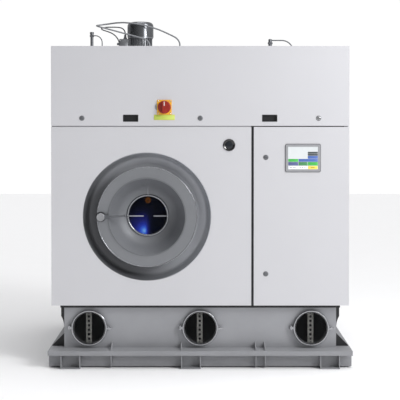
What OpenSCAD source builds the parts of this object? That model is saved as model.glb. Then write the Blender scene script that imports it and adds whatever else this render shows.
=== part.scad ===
// Front-loading dry cleaning machine: cabinet, loading door, drum drive,
// three-part solvent tank and safety tray.
// Millimetres. +Z is up, -Y is the front, origin on the floor under the centre.

/* [Cabinet] */
// Width of the cabinet
cab_w = 1790; // [1740:10:1900]
// Depth of the cabinet
cab_d = 1280; // [1240:10:1400]
// Height of the cabinet alone
cab_h = 1560; // [1520:10:1700]
// Thickness of the panel sheet
sheet_t = 2; // [1.5:0.5:2.5]
// Depth of the folded edges of the front panels
return_d = 20; // [18:1:20]
// Gap between neighbouring panels
seam_gap = 6; // [4:1:8]
// Gap between a front panel's folded edge and the side wall or roof
edge_gap = 4; // [4:1:6]
// Distance from the cabinet's front face to the frame behind it
frame_setback = 28; // [28:1:34]
// Side of the square frame tube
tube_w = 40; // [34:1:44]
// Wall of the square frame tube
tube_t = 3; // [2:0.5:4]
// Height of the upper service flap
flap_h = 479; // [440:1:500]
// Width of the control door
control_w = 573; // [540:1:600]
// Gap between the control door and the left front panel
post_gap = 15; // [10:1:20]

/* [Tray and feet] */
// How far the tray's lip stands out past the cabinet at each side
lip_out_x = 15; // [10:1:30]
// How far the tray's lip stands out past the cabinet at front and back
lip_out_y = 60; // [55:1:80]
// How far the tray's wall lies behind its lip at front and back
wall_inset = 50; // [40:1:55]
// Height of the tray's lip
lip_h = 27; // [20:1:35]
// Height of the tray from its underside to the top of its lip
tray_h = 101; // [90:1:120]
// Thickness of the tray's sheet
tray_t = 4; // [3:0.5:5]
// Thickness of the foot plates
foot_t = 8; // [6:1:12]
// Width of one foot
foot_w = 118; // [100:1:130]
// Distance of the outer feet from the tray's ends
foot_in = 134; // [130:1:170]
// Place of the middle foot
mid_foot_x = -55; // [-80:1:80]
// Diameter of the anchor hole in each foot plate
anchor_d = 14; // [12:1:18]

/* [Solvent tank] */
// How far the tank lies inside the cabinet at each side
tank_inset_x = 70; // [60:1:80]
// How far the tank lies inside the cabinet at front and back
tank_inset_y = 50; // [45:1:55]
// Height of the tank
tank_h = 241; // [236:1:260]
// Thickness of the tank's sheet
tank_t = 4; // [3:0.5:5]
// Height of the dark rail between tank and cabinet
rail_h = 22; // [18:1:30]
// Distance of the outer tank ports from the tank's ends
port_in = 154; // [150:1:220]
// Outer radius of a port's cover ring
port_r = 108; // [102:1:110]
// Radius of a port's sight glass
port_glass_r = 99; // [92:1:99]
// Bore radius of a port's neck
port_neck_r = 92; // [86:1:92]
// Length of a port's neck in front of the tank
port_neck_len = 14; // [12:1:18]
// Thickness of a port's cover ring
port_cover_t = 17; // [16:1:20]
// Distance from a port's centre to its hinge pin and to its wing screw
port_lug_x = 122; // [121:1:126]
// Width of the perforated level strip
gauge_w = 35; // [28:1:40]

/* [Loading door] */
// Distance of the drum's centre from the cabinet's left side
drum_from_left = 576; // [570:1:590]
// Height of the drum's centre above the cabinet's underside
drum_height = 536; // [536:1:545]
// Width of the funnel round the door's flange
collar_w = 85; // [80:1:90]
// Depth of the funnel's floor behind the cabinet's front face
collar_depth = 78; // [74:1:82]
// Thickness of the funnel's sheet
collar_t = 3; // [2:0.5:3]
// How far the door's flange reaches out past the tub's neck
flange_over = 58; // [55:1:61]
// Thickness of the door's flange
door_t = 12; // [10:1:14]
// How far the door's flange stands in front of the cabinet
door_proud = 20; // [16:1:22]
// Room between the dish's outer lip and the tub's neck
dish_gap = 7; // [7:1:10]
// Depth of the door glass behind the front of the flange
glass_depth = 108; // [104:1:112]
// Visible radius of the door glass
glass_r = 115.5; // [110:0.5:118]
// Thickness of the door glass
glass_t = 10; // [6:1:10]
// Distance of the door's hinge axis from the lip of the tub's neck
hinge_from_lip = 17; // [16:1:18]
// Depth of the door's hinge axis behind the cabinet's front face
hinge_depth = 15; // [15:1:17]
// Radius of the door's hinge pin
door_pin_r = 6; // [5:0.5:7]
// Distance of the latch's spindle from the lip of the tub's neck
latch_from_lip = 18; // [17:1:19]
// Radius of the latch's round hub
latch_hub_r = 26; // [22:1:28]
// Length of the latch's arm from the spindle to its tip
latch_len = 154; // [140:1:160]

/* [Drum] */
// Gap between the drum and the tub round it
drum_gap = 28; // [24:1:34]
// Length of the drum
drum_len = 480; // [450:1:484]
// Thickness of the drum's sheet
drum_t = 3; // [2:0.5:4]
// How much the drum's mouth is smaller in radius than the tub's neck
mouth_in = 8; // [6:1:16]
// Inner radius of the tub
tub_r = 488; // [484:1:490]
// Thickness of the tub's sheet
tub_t = 4; // [3:0.5:5]
// Depth of the tub's front wall behind the cabinet's front face
tub_setback = 95; // [92:1:98]
// Length of the tub
tub_len = 531; // [525:1:540]
// Inner radius of the tub's neck
neck_r = 243; // [242:1:244]
// Radius of the drum's shaft
shaft_r = 35; // [30:1:40]
// Running clearance of shafts and pins in their bores
run_gap = 0.05; // [0.03:0.01:0.08]
// Groove radius of the drum's pulley
big_pulley_r = 220; // [200:1:230]
// Groove radius of the motor's pulley
small_pulley_r = 60; // [50:1:65]
// Width of both pulleys
pulley_w = 40; // [32:1:44]
// Thickness of the belt
belt_t = 9; // [7:1:10]
// Distance between the drum's axis and the motor's axis
belt_centres = 420; // [410:1:425]
// Number of drum lifters
lifters = 4; // [3:1:5]
// Rows of perforations along the drum
hole_rows = 4; // [2:1:6]
// Perforations between two lifters in each row
hole_columns = 4; // [3:1:6]
// Radius of a perforation
hole_r = 11; // [6:1:14]

/* [Roof] */
// Distance of the roof motor to the left of the drum's axis
fan_left = 71; // [41:1:101]
// Place of the roof motor along the cabinet's depth
fan_y = -100; // [-140:1:-60]
// Outer radius of the motor's fins
motor_fin_r = 77; // [72:1:80]
// Height of the motor's finned body above the roof
motor_body_h = 100; // [90:1:120]
// Radius of the motor's fan cowl
cowl_r = 85; // [82:1:90]
// Height of the motor's fan cowl
cowl_h = 98; // [80:1:110]
// Number of cooling fins
motor_fins = 28; // [20:1:32]
// Radius of the fan's impeller
impeller_r = 170; // [150:1:185]
// Number of impeller blades
impeller_blades = 12; // [8:1:16]
// Height of the fan's housing under the roof
fan_h = 230; // [210:1:260]

/* [Front controls] */
// Distance of the main switch from the centre
switch_x = -215; // [-230:1:-200]
// Height of the main switch above the flap's lower edge
switch_up = 112; // [104:1:130]
// Side of the main switch's square plate
switch_plate_w = 88; // [80:1:92]
// Radius of the main switch's knob
knob_r = 39; // [34:1:41]
// Height of the locks above the flap's lower edge
lock_up = 46; // [44:1:50]
// Distance of the outer locks from the flap's ends
lock_end = 185; // [165:1:215]
// Radius of a lock's round head
lock_r = 12; // [10:1:14]
// Distance of the finger grips from the centre
grip_x = 417; // [400:1:430]
// Width of a finger grip
grip_w = 87; // [80:1:95]
// Height of a finger grip
grip_h = 38; // [34:1:42]
// Depth of a finger grip
grip_d = 18; // [16:1:19]
// Width of the touch panel's bezel
bezel_w = 209; // [190:1:220]
// Height of the touch panel's bezel
bezel_h = 165; // [150:1:175]
// Distance from the control door's free edge to the bezel's centre
bezel_from_edge = 295; // [280:1:310]
// Height of the bezel's centre above the door's lower edge
bezel_up = 888; // [860:1:910]
// Distance from the control door's free edge to its locks
lock_in = 72; // [70:1:80]
// Radius of the small sight port
sight_r = 36.5; // [34:0.5:40]
// Distance of the sight port from the front panel's right edge
sight_in = 133; // [125:1:140]
// Height of the sight port above the front panel's lower edge
sight_up = 966; // [960:1:975]

/* [Hidden] */
// Names of the separate parts
// Which part is drawn
$fn = 72;

// Gap between pieces that lie side by side without a fit
fit_gap = 0.3;
// Overlap that joins two shapes of one piece, or lets a cut pass a face
eps = 0.01;
cut = 1;

// Heights
z_tray = foot_t;
z_deck = z_tray + tray_h;
z_tank_top = z_deck + tank_h;
z_cab = z_tank_top + rail_h;
z_roof = z_cab + cab_h;
z_flap = z_roof - flap_h;
z_seam = z_flap - seam_gap;
lower_h = z_seam - z_cab;

// Front and side planes
half_w = cab_w / 2;
half_d = cab_d / 2;
y_front = -half_d;
y_frame = y_front + frame_setback;
tray_w = cab_w + 2 * lip_out_x;
tray_d = cab_d + 2 * lip_out_y;
tray_wall_y = tray_d / 2 - wall_inset;
foot_x = tray_w / 2 - foot_in;
tank_w = cab_w - 2 * tank_inset_x;
tank_d = cab_d - 2 * tank_inset_y;
y_tank = -tank_d / 2;
z_port = z_deck + tank_h / 2 + 1.5;
port_pitch = tank_w / 2 - port_in;
port_xs = [-port_pitch, 0, port_pitch];

// Front openings
left_w = cab_w - control_w - post_gap;
x_left_edge = half_w - control_w - post_gap;
x_door_edge = half_w - control_w;
x_post = x_left_edge + post_gap / 2;
post_x = half_w - frame_setback - tube_w / 2;
z_mid_rail = z_seam + seam_gap / 2 - tube_w / 2;

// Folded front panels turn on pins this far inside their outer faces
hinge_in = 8;
panel_pin_r = 4;
ear_t = 5;

// Drum, tub and loading door
drum_x = -half_w + drum_from_left;
drum_z = z_cab + drum_height;
y_tub = y_front + tub_setback;
y_tub_back = y_tub + tub_len;
y_drum = y_tub + tub_t + 21;
y_drum_back = y_drum + drum_len;
y_door = y_front - door_proud;
y_door_back = y_door + door_t;
y_glass = y_door + glass_depth;
neck_t = 4;
neck_lip = 11;
lip_r = neck_r + neck_t + neck_lip;
seal_t = 5.7;
drum_r = tub_r - drum_gap;
drum_mouth_r = neck_r - mouth_in;
dish_r = neck_r - dish_gap;
door_r = neck_r + flange_over;
collar_r = door_r + collar_w;
y_neck = y_door_back + fit_gap + seal_t;
x_hinge = drum_x + lip_r + hinge_from_lip;
y_hinge = y_front + hinge_depth;
x_latch = drum_x - lip_r - latch_from_lip;
spindle_r = 8;

// Drive behind the tub
hub_len = 164;
y_pulley = y_tub_back + hub_len + 10;
motor_x = drum_x;
motor_z = drum_z - belt_centres;
motor_r = 82;
motor_len = 250;

// Roof
z_roof_under = z_roof - sheet_t;
fan_x = drum_x - fan_left;
fan_top = z_roof_under;
fan_z = fan_top - fan_h;
motor_shaft_r = 12;

// ---- Shared shapes ----

// Points of an arc in a profile
function arc(c, r, a0, a1, n = 6) =
    [for (i = [0 : n]) let (a = a0 + (a1 - a0) * i / n) [c.x + r * cos(a), c.y + r * sin(a)]];

// Unit normal at point i of an open line of points, to the left of its direction
function side_normal(p, i) =
    let (d = p[min(i + 1, len(p) - 1)] - p[max(i - 1, 0)]) [-d.y, d.x] / norm(d);

// Closed outline of a sheet of thickness t along an open line of points
function sheet(p, t) =
    concat(p, [for (i = [len(p) - 1 : -1 : 0]) p[i] + t * side_normal(p, i)]);

// Block between two corners given as ranges
module block(x0, x1, y0, y1, z0, z1)
    translate([x0, y0, z0]) cube([x1 - x0, y1 - y0, z1 - z0]);

// Children drawn upright are turned so that their height runs along Y
module along_y(x, z) translate([x, 0, z]) rotate([-90, 0, 0]) children();

// Round bar from y0 to y1 about the line through x and z
module bar_y(x, z, r, y0, y1) along_y(x, z) translate([0, 0, y0]) cylinder(r = r, h = y1 - y0);

// Profile of radius and depth turned about the line through x and z
module turn_y(x, z, points) along_y(x, z) rotate_extrude($fn = 144) polygon(points);

// Round bar along points, with round joints, for rigid pipework
module pipe_run(points, r) {
    for (i = [0 : len(points) - 2]) {
        d = points[i + 1] - points[i];
        translate(points[i])
            rotate([0, acos(d.z / norm(d)), atan2(d.y, d.x)])
                cylinder(r = r, h = norm(d), $fn = 32);
    }
    for (i = [1 : len(points) - 2]) translate(points[i]) sphere(r = r, $fn = 32);
}

// Square with round corners
module round_rect(w, h, r) {
    square([w - 2 * r, h], center = true);
    square([w, h - 2 * r], center = true);
    for (x = [-1, 1], y = [-1, 1]) translate([x * (w / 2 - r), y * (h / 2 - r)]) circle(r = r, $fn = 32);
}

// Plate with round corners, facing the front, from y0 to y1
module front_plate(x, z, w, h, r, y0, y1)
    along_y(x, z) translate([0, 0, y0]) linear_extrude(y1 - y0) round_rect(w, h, r);

// Unit vector
function unit(v) = v / norm(v);
// Direction of a route at point i
function heading(p, i) = unit(p[min(i + 1, len(p) - 1)] - p[max(i - 1, 0)]);
// Round tube swept along a route
module swept_tube(route, r, sides) {
    skew = unit([0.35, 0.5, 0.8]);
    rings = len(route);
    points = [for (i = [0 : rings - 1], k = [0 : sides - 1])
        let (t = heading(route, i), n = unit(cross(t, skew)), b = cross(t, n), a = 360 * k / sides)
        route[i] + r * (cos(a) * n + sin(a) * b)];
    faces = concat(
        [[for (k = [sides - 1 : -1 : 0]) k]],
        [[for (k = [0 : sides - 1]) (rings - 1) * sides + k]],
        [for (i = [0 : rings - 2], k = [0 : sides - 1])
            let (a = i * sides + k, b = i * sides + (k + 1) % sides) [a, b, b + sides]],
        [for (i = [0 : rings - 2], k = [0 : sides - 1])
            let (a = i * sides + k, b = i * sides + (k + 1) % sides) [a, b + sides, a + sides]]);
    polyhedron(points = points, faces = faces);
}

// ---- Tray and feet ----

cheek_t = 6;
cheek_y0 = tray_d / 2 - tray_t - 4;
rib_xs = [-foot_x + 243, foot_x - 442, foot_x - 386];
gusset_xs = concat(rib_xs, [mid_foot_x - foot_w / 2]);
deck_rest = 30;

module drip_tray() color("#8f9094") difference() {
    union() {
        difference() {
            block(-tray_w / 2, tray_w / 2, -tray_wall_y, tray_wall_y, z_tray, z_deck);
            block(-tray_w / 2 + tray_t, tray_w / 2 - tray_t, -tray_wall_y + tray_t, tray_wall_y - tray_t,
                z_tray + tray_t, z_deck - tray_t);
        }
        // Lip folded out and down at the front and the back
        for (side = [0, 1]) mirror([0, side, 0]) {
            block(-tray_w / 2, tray_w / 2, -tray_d / 2, -tray_wall_y + tray_t, z_deck - tray_t, z_deck);
            block(-tray_w / 2, tray_w / 2, -tray_d / 2, -tray_d / 2 + tray_t, z_deck - lip_h, z_deck);
        }
    }
    // The deck is open under the tank
    block(-tank_w / 2 + deck_rest, tank_w / 2 - deck_rest, y_tank + deck_rest, -y_tank - deck_rest,
        z_deck - tray_t - cut, z_deck + cut);
}

// Upright plate across the tray's front, full at the top and narrower at the foot
module tray_rib(x, foot_depth)
    translate([x - cheek_t / 2, 0, 0]) rotate([90, 0, 90]) linear_extrude(cheek_t)
        polygon([[-cheek_y0, z_deck - tray_t], [-tray_wall_y, z_deck - tray_t], [-tray_wall_y, z_tray],
            [-tray_wall_y - foot_depth, z_tray], [-cheek_y0, z_deck - lip_h]]);

module foot_brackets() color("#8f9094") {
    anchor_y = (tray_d / 2 + tray_wall_y) / 2;
    for (x = [-foot_x, mid_foot_x, foot_x]) difference() {
        union() {
            block(x - foot_w / 2, x + foot_w / 2, -cheek_y0, cheek_y0, 0, foot_t);
            for (side = [0, 1], end = [0, 1]) mirror([0, side, 0])
                translate([end * (foot_w - cheek_t), 0, 0])
                    block(x - foot_w / 2, x - foot_w / 2 + cheek_t, -cheek_y0, -tray_wall_y,
                        foot_t - eps, z_deck - tray_t);
        }
        for (y = [-anchor_y, anchor_y]) translate([x, y, -cut]) cylinder(d = anchor_d, h = foot_t + 2 * cut);
    }
    for (x = rib_xs) tray_rib(x, 18);
    // Small gussets between the deck and the tank's front
    for (x = gusset_xs) translate([x - cheek_t / 2, 0, 0]) rotate([90, 0, 90]) linear_extrude(cheek_t)
        polygon([[y_tank, z_deck], [y_tank - 92, z_deck], [y_tank - 92, z_deck + 4], [y_tank, z_deck + 34]]);
}

// ---- Solvent tank ----

neck_wall = 8;
y_port_neck = y_tank - port_neck_len;
y_cover_back = y_port_neck - fit_gap;
y_cover = y_cover_back - port_cover_t;
y_lug = y_cover_back - port_cover_t / 2;
port_pin_r = 3;
knuckle_r = 7;
knuckle_h = 14;
lug_t = 8;
cover_lip = 4;
cover_lip_t = 3;
screw_r = 3;
screw_slack = 1.5;
// Drain of the tub into the tank
drain_r = 40;
y_drain = y_tub + 300;

module tank_shell() color("#8b8d91") difference() {
    block(-tank_w / 2, tank_w / 2, y_tank + tank_t, -y_tank, z_deck, z_tank_top);
    room = (tank_w - 4 * tank_t) / 3;
    for (i = [0 : 2]) let (x = -tank_w / 2 + tank_t + i * (room + tank_t))
        block(x, x + room, y_tank, -y_tank - tank_t, z_deck + tank_t, z_tank_top - tank_t);
    translate([drum_x, y_drain, z_tank_top - tank_t - cut]) cylinder(r = drain_r, h = tank_t + 2 * cut);
}

// Ears and pin that carry one port's cover
module port_hinge(x) {
    for (s = [-1, 1]) translate([x - port_lug_x, 0, z_port + s * (knuckle_h / 2 + fit_gap + 3) - 3]) {
        translate([0, y_lug, 0]) cylinder(r = knuckle_r, h = 6);
        translate([-knuckle_r, y_lug, 0]) cube([2 * knuckle_r, y_tank - y_lug + eps, 6]);
    }
    pin_h = knuckle_h + 2 * fit_gap + 12;
    translate([x - port_lug_x, y_lug, z_port - pin_h / 2]) cylinder(r = port_pin_r, h = pin_h);
}

module tank_front() color("#97999d") difference() {
    union() {
        block(-tank_w / 2, tank_w / 2, y_tank, y_tank + tank_t, z_deck, z_tank_top);
        for (x = port_xs) {
            bar_y(x, z_port, port_neck_r + neck_wall, y_port_neck, y_tank + tank_t);
            port_hinge(x);
            bar_y(x + port_lug_x, z_port, 8, y_lug + lug_t / 2 + fit_gap, y_tank + eps);
        }
    }
    for (x = port_xs) {
        bar_y(x, z_port, port_neck_r, y_port_neck - cut, y_tank + tank_t + cut);
        bar_y(x + port_lug_x, z_port, screw_r + screw_slack, y_cover, y_tank - 1);
    }
}

module port_cover(x) color("#a9abae") {
    difference() {
        union() {
            // Ring with a rounded front edge and a lip that holds the glass
            turn_y(x, z_port, concat(
                [[port_glass_r, y_cover_back], [port_glass_r, y_cover + cover_lip_t],
                    [port_glass_r - cover_lip, y_cover + cover_lip_t], [port_glass_r - cover_lip, y_cover]],
                arc([port_r - 4, y_cover + 4], 4, -90, 0),
                [[port_r, y_cover_back]]));
            // Hinge lug and clamp lug
            difference() {
                union() {
                    translate([x - port_lug_x, y_lug, z_port - knuckle_h / 2])
                        cylinder(r = knuckle_r, h = knuckle_h);
                    block(x - port_lug_x, x - port_r + 3, y_lug - lug_t / 2, y_lug + lug_t / 2,
                        z_port - knuckle_h / 2, z_port + knuckle_h / 2);
                    block(x + port_r - 3, x + port_lug_x, y_lug - lug_t / 2, y_lug + lug_t / 2,
                        z_port - 9, z_port + 9);
                    bar_y(x + port_lug_x, z_port, 9, y_lug - lug_t / 2, y_lug + lug_t / 2);
                }
                bar_y(x, z_port, port_glass_r + 3, y_cover, y_cover_back + cut);
            }
        }
        translate([x - port_lug_x, y_lug, z_port - knuckle_h]) cylinder(r = port_pin_r + run_gap, h = 2 * knuckle_h);
        bar_y(x + port_lug_x, z_port, screw_r + fit_gap, y_cover - cut, y_cover_back + cut);
    }
    // Captive wing screw
    screw_seat = y_lug - lug_t / 2 - fit_gap;
    bar_y(x + port_lug_x, z_port, screw_r, screw_seat - eps, y_tank - 4);
    bar_y(x + port_lug_x, z_port, 6, screw_seat - 9, screw_seat);
    for (s = [-1, 1]) translate([x + port_lug_x + s * 8.5, 0, z_port]) {
        block(-6.5, 6.5, screw_seat - 8, screw_seat - 2, -1.5, 1.5);
        bar_y(s * 5, 0, 3, screw_seat - 8, screw_seat - 2);
    }
}

module port_glass(x) color("#101113")
    bar_y(x, z_port, port_glass_r - fit_gap, y_cover + cover_lip_t, y_cover_back);

module level_gauges() color("#c3c5c4") for (x = port_xs) difference() {
    intersection() {
        block(x - 3 - gauge_w / 2, x - 3 + gauge_w / 2, y_port_neck + 3, y_port_neck + 5,
            z_port - port_neck_r, z_port + port_neck_r);
        bar_y(x, z_port, port_neck_r - fit_gap, y_port_neck, y_tank);
    }
    for (i = [-2.5 : 1 : 2.5]) bar_y(x - 3, z_port + i * 27, 8, y_port_neck, y_tank);
}

// ---- Black base between tank and cabinet ----

rail_w = 40;
deck_t = 4;
rail_out = 24;
gusset_w = 78;
gusset_h = 84;

// Plates at the tank's sides, drawn for the right side
module side_gusset(y) translate([0, y, 0]) rotate([90, 0, 0]) linear_extrude(cheek_t) {
    polygon([[tank_w / 2, z_deck], [tank_w / 2 + gusset_w, z_deck], [tank_w / 2 + gusset_w, z_deck + 5],
        [tank_w / 2, z_deck + gusset_h]]);
    polygon(concat([[tank_w / 2, z_tank_top], [tank_w / 2, z_tank_top - 150], [tank_w / 2 + 5, z_tank_top - 150]],
        arc([tank_w / 2 + 140, z_tank_top - 125], 134, 175, 150, 4),
        [[tank_w / 2 + rail_out, z_tank_top]]));
}

module base_frame() color("#1d1e20") {
    difference() {
        union() {
            block(-half_w + frame_setback + 2, half_w - frame_setback - 2,
                y_front + frame_setback + 2, -y_front - frame_setback - 2, z_cab - deck_t, z_cab);
            for (side = [0, 1]) {
                mirror([0, side, 0]) block(-tank_w / 2 - rail_out, tank_w / 2 + rail_out, y_tank + 2,
                    y_tank + 2 + rail_w, z_tank_top, z_cab - deck_t + eps);
                mirror([side, 0, 0]) block(tank_w / 2 + rail_out - rail_w, tank_w / 2 + rail_out,
                    y_tank + 2, -y_tank - 2, z_tank_top, z_cab - deck_t + eps);
            }
            for (x = [-tank_w / 6, tank_w / 6])
                block(x - rail_w / 2, x + rail_w / 2, y_tank + 2, -y_tank - 2, z_tank_top, z_cab - deck_t + eps);
        }
        translate([drum_x, y_drain, z_tank_top - cut]) cylinder(r = drain_r, h = rail_h + 2 * cut);
    }
    for (side = [0, 1], y = [y_tank + 44, -y_tank - 38]) mirror([side, 0, 0]) side_gusset(y);
}

// ---- Cabinet frame ----

post_y = half_d - frame_setback - tube_w / 2;
post_in = post_x - tube_w / 2 - fit_gap;
post_in_y = post_y - tube_w / 2 - fit_gap;
cross_xs = [drum_x + 439, drum_x + 749];

// Square tube of length h, drawn upright from its lower end's centre
module tube(h) difference() {
    translate([-tube_w / 2, -tube_w / 2, 0]) cube([tube_w, tube_w, h]);
    translate([-tube_w / 2 + tube_t, -tube_w / 2 + tube_t, -cut])
        cube([tube_w - 2 * tube_t, tube_w - 2 * tube_t, h + 2 * cut]);
}
module tube_x(y, z, x0, x1) translate([x0, y, z]) rotate([0, 90, 0]) tube(x1 - x0);
module tube_y(x, z, y0, y1) translate([x, y0, z]) rotate([-90, 0, 0]) tube(y1 - y0);
module tube_z(x, y, z0, z1) translate([x, y, z0]) tube(z1 - z0);

// Ear with its pin for the control door, drawn for the upper end with the seam at z = 0
module door_ear(z, up) {
    ear_z = up ? z - sheet_t - 4 - ear_t : z + sheet_t + 4;
    pin_z = up ? ear_z : z + 0.5;
    x = half_w - hinge_in;
    y = y_front + hinge_in;
    translate([0, 0, ear_z]) {
        block(post_x - 8, post_x + 14, y - 5, y_frame, 0, ear_t);
        block(post_x - 8, x, y - 5, y + 5, 0, ear_t);
        translate([x, y, 0]) cylinder(r = 5, h = ear_t);
    }
    translate([x, y, pin_z]) cylinder(r = panel_pin_r, h = ear_t + 4 + sheet_t - 0.5);
}

module cabinet_frame() color("#3a3c3f") {
    for (x = [-post_x, post_x], y = [-post_y, post_y]) tube_z(x, y, z_cab, z_roof_under);
    tube_z(x_post, -post_y, z_cab, z_mid_rail - fit_gap);
    z_low = z_cab + tube_w / 2;
    z_mid = z_mid_rail + tube_w / 2;
    z_top = z_roof_under - tube_w / 2;
    tube_x(-post_y, z_low, -post_in, x_post - tube_w / 2 - fit_gap);
    tube_x(-post_y, z_low, x_post + tube_w / 2 + fit_gap, post_in);
    tube_x(post_y, z_low, -post_in, post_in);
    for (y = [-post_y, post_y], z = [z_mid, z_top]) tube_x(y, z, -post_in, post_in);
    for (x = [-post_x, post_x], z = [z_low, z_mid, z_top]) tube_y(x, z, -post_in_y, post_in_y);
    for (x = cross_xs) tube_y(x, z_mid, -post_in_y, post_in_y);
    // Hinge ears and pins of the control door and the upper flap
    door_ear(z_seam, true);
    door_ear(z_cab, false);
    for (side = [0, 1]) mirror([side, 0, 0]) {
        y = y_front + hinge_in;
        z = z_roof - hinge_in;
        translate([post_x, 0, 0]) {
            block(0, ear_t, y, y_frame, z - 5, z + 5);
            translate([0, y, z]) rotate([0, 90, 0]) cylinder(r = 5, h = ear_t);
            translate([0, y, z]) rotate([0, 90, 0]) cylinder(r = panel_pin_r, h = half_w - post_x - 0.5);
        }
    }
}

// ---- Panels ----

side_y = half_d - return_d - edge_gap;
side_in = post_x + tube_w / 2 + fit_gap;
y_sheet = y_front + sheet_t;
deep_in = half_w - frame_setback - tube_w;

module front_panel() color("#e4e4e8") difference() {
    union() {
        block(-half_w, x_left_edge, y_front, y_sheet, z_cab, z_seam);
        block(-half_w, -half_w + sheet_t, y_front, y_front + return_d, z_cab, z_seam);
        block(x_left_edge - sheet_t, x_left_edge, y_front, y_frame - fit_gap, z_cab, z_seam);
        for (z = [z_cab, z_seam - sheet_t]) {
            block(-half_w, x_left_edge, y_front, y_front + return_d, z, z + sheet_t);
            block(-deep_in, x_left_edge, y_front, y_frame - fit_gap, z, z + sheet_t);
        }
    }
    bar_y(drum_x, drum_z, collar_r + fit_gap, y_front - cut, y_sheet + cut, $fn = 144);
    bar_y(x_left_edge - sight_in, z_cab + sight_up, sight_r - 6, y_front - cut, y_sheet + cut);
}

module side_panels() color("#e4e4e8") for (side = [0, 1]) mirror([side, 0, 0]) {
    block(half_w - sheet_t, half_w, -side_y, side_y, z_cab, z_roof_under);
    for (end = [0, 1]) mirror([0, end, 0])
        block(side_in, half_w, -side_y, -side_y + sheet_t, z_cab, z_roof_under);
    for (z = [z_cab, z_roof_under - sheet_t]) block(side_in, half_w, -side_y, side_y, z, z + sheet_t);
}

slot_rows = 12;
slot_w = 420;
slot_pitch = 30;

module rear_panel() color("#e4e4e8") difference() {
    union() {
        block(-half_w, half_w, half_d - sheet_t, half_d, z_cab, z_roof);
        for (side = [0, 1]) mirror([side, 0, 0])
            block(half_w - sheet_t, half_w, half_d - return_d, half_d, z_cab, z_roof);
        for (z = [z_cab, z_roof - sheet_t]) block(-half_w, half_w, half_d - return_d, half_d, z, z + sheet_t);
        block(-deep_in, deep_in, half_d - frame_setback + fit_gap, half_d, z_cab, z_cab + sheet_t);
    }
    for (x = [-cab_w / 4, cab_w / 4], i = [0 : slot_rows - 1])
        front_plate(x, z_roof - 180 - i * slot_pitch, slot_w, 12, 5.9, half_d - sheet_t - cut, half_d + cut);
}

module roof_panel() color("#e4e4e8") difference() {
    block(-half_w, half_w, -side_y, side_y, z_roof_under, z_roof);
    translate([fan_x, fan_y, z_roof_under - cut]) cylinder(r = 20, h = sheet_t + 2 * cut);
}

module sight_port() color("#17181a") {
    x = x_left_edge - sight_in;
    z = z_cab + sight_up;
    r = sight_r;
    turn_y(x, z, concat([[0, y_front - 2], [r - 12, y_front - 2]],
        arc([r - 4, y_front - 2], 4, -90, 0),
        [[r, y_front], [r - 6 - fit_gap, y_front], [r - 6 - fit_gap, y_sheet + fit_gap],
            [r + 2, y_sheet + fit_gap], [r + 2, y_sheet + 8], [r - 10, y_sheet + 12], [0, y_sheet + 12]]));
}

// ---- Loading door ----

y_floor = y_front + collar_depth;
collar_in = neck_r + neck_t + fit_gap;
collar_line = concat(
    [[collar_r - collar_t, y_front], [collar_r - collar_t, y_front + 5]],
    arc([collar_r - collar_t - 36.8, y_floor - 27.7], 22, 17, 80, 6),
    [[door_r + 11, y_floor], [collar_in, y_floor]]);

module door_collar() color("#7e8084") turn_y(drum_x, drum_z, sheet(collar_line, -collar_t));

module door_seal() color("#2a2b2d") turn_y(drum_x, drum_z, concat(
    [[neck_r + 2, y_neck]],
    arc([neck_r + 7.5, y_neck - seal_t + 4], 4, 200, 340, 8),
    [[neck_r + 13, y_neck]]));

hinge_ear_z = 62;
hinge_ear_t = 8;
tongue_len = 36;
tongue_w = 16;

module hinge_and_keeper() color("#6f7175") {
    for (s = [-1, 1]) translate([x_hinge, 0, drum_z + s * (hinge_ear_z + hinge_ear_t / 2) - hinge_ear_t / 2]) {
        translate([0, y_hinge, 0]) cylinder(r = 11, h = hinge_ear_t);
        block(-11, 4, y_hinge, y_floor, 0, hinge_ear_t);
    }
    block(x_hinge - 14, x_hinge + 12, y_floor - 8, y_floor, drum_z - hinge_ear_z - 20, drum_z + hinge_ear_z + 20);
    pin_h = 2 * (hinge_ear_z + hinge_ear_t) + 8;
    translate([x_hinge, y_hinge, drum_z - pin_h / 2]) cylinder(r = door_pin_r, h = pin_h);
    // Keeper below the latch's tongue
    keeper_z = drum_z - tongue_len - 1.5;
    block(x_latch - 9, x_latch + 9, y_door_back + 2, y_floor, keeper_z - 7, keeper_z);
    block(x_latch - 9, x_latch + 9, y_floor - 8, y_floor, keeper_z - 24, keeper_z);
}

module door_flange() color("#85878b") difference() {
    union() {
        turn_y(drum_x, drum_z, concat(
            [[dish_r - 4, y_door_back], [dish_r - 4, y_door]],
            arc([door_r - 5, y_door + 5], 5, -90, 0),
            [[door_r, y_door_back]]));
        // Knuckle behind the right edge
        translate([x_hinge, y_hinge, drum_z - hinge_ear_z + fit_gap])
            cylinder(r = 11.5, h = 2 * (hinge_ear_z - fit_gap));
        block(x_hinge - 11.5, x_hinge + 11.5, y_door_back - eps, y_hinge,
            drum_z - hinge_ear_z + fit_gap, drum_z + hinge_ear_z - fit_gap);
    }
    translate([x_hinge, y_hinge, drum_z - hinge_ear_z - cut])
        cylinder(r = door_pin_r + run_gap, h = 2 * (hinge_ear_z + cut));
    bar_y(x_latch, drum_z, spindle_r + run_gap, y_door - cut, y_door_back + cut);
}

// Dish: straight wall that curves in to the ring round the glass
ring_r = glass_r + 6.5;
skirt_t = 4;
dish_line = concat(
    [[dish_r, y_door - 3], [dish_r - 7, y_door - 3]],
    arc([ring_r - 34, y_glass - 120], 120, 36, 72, 6));

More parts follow.
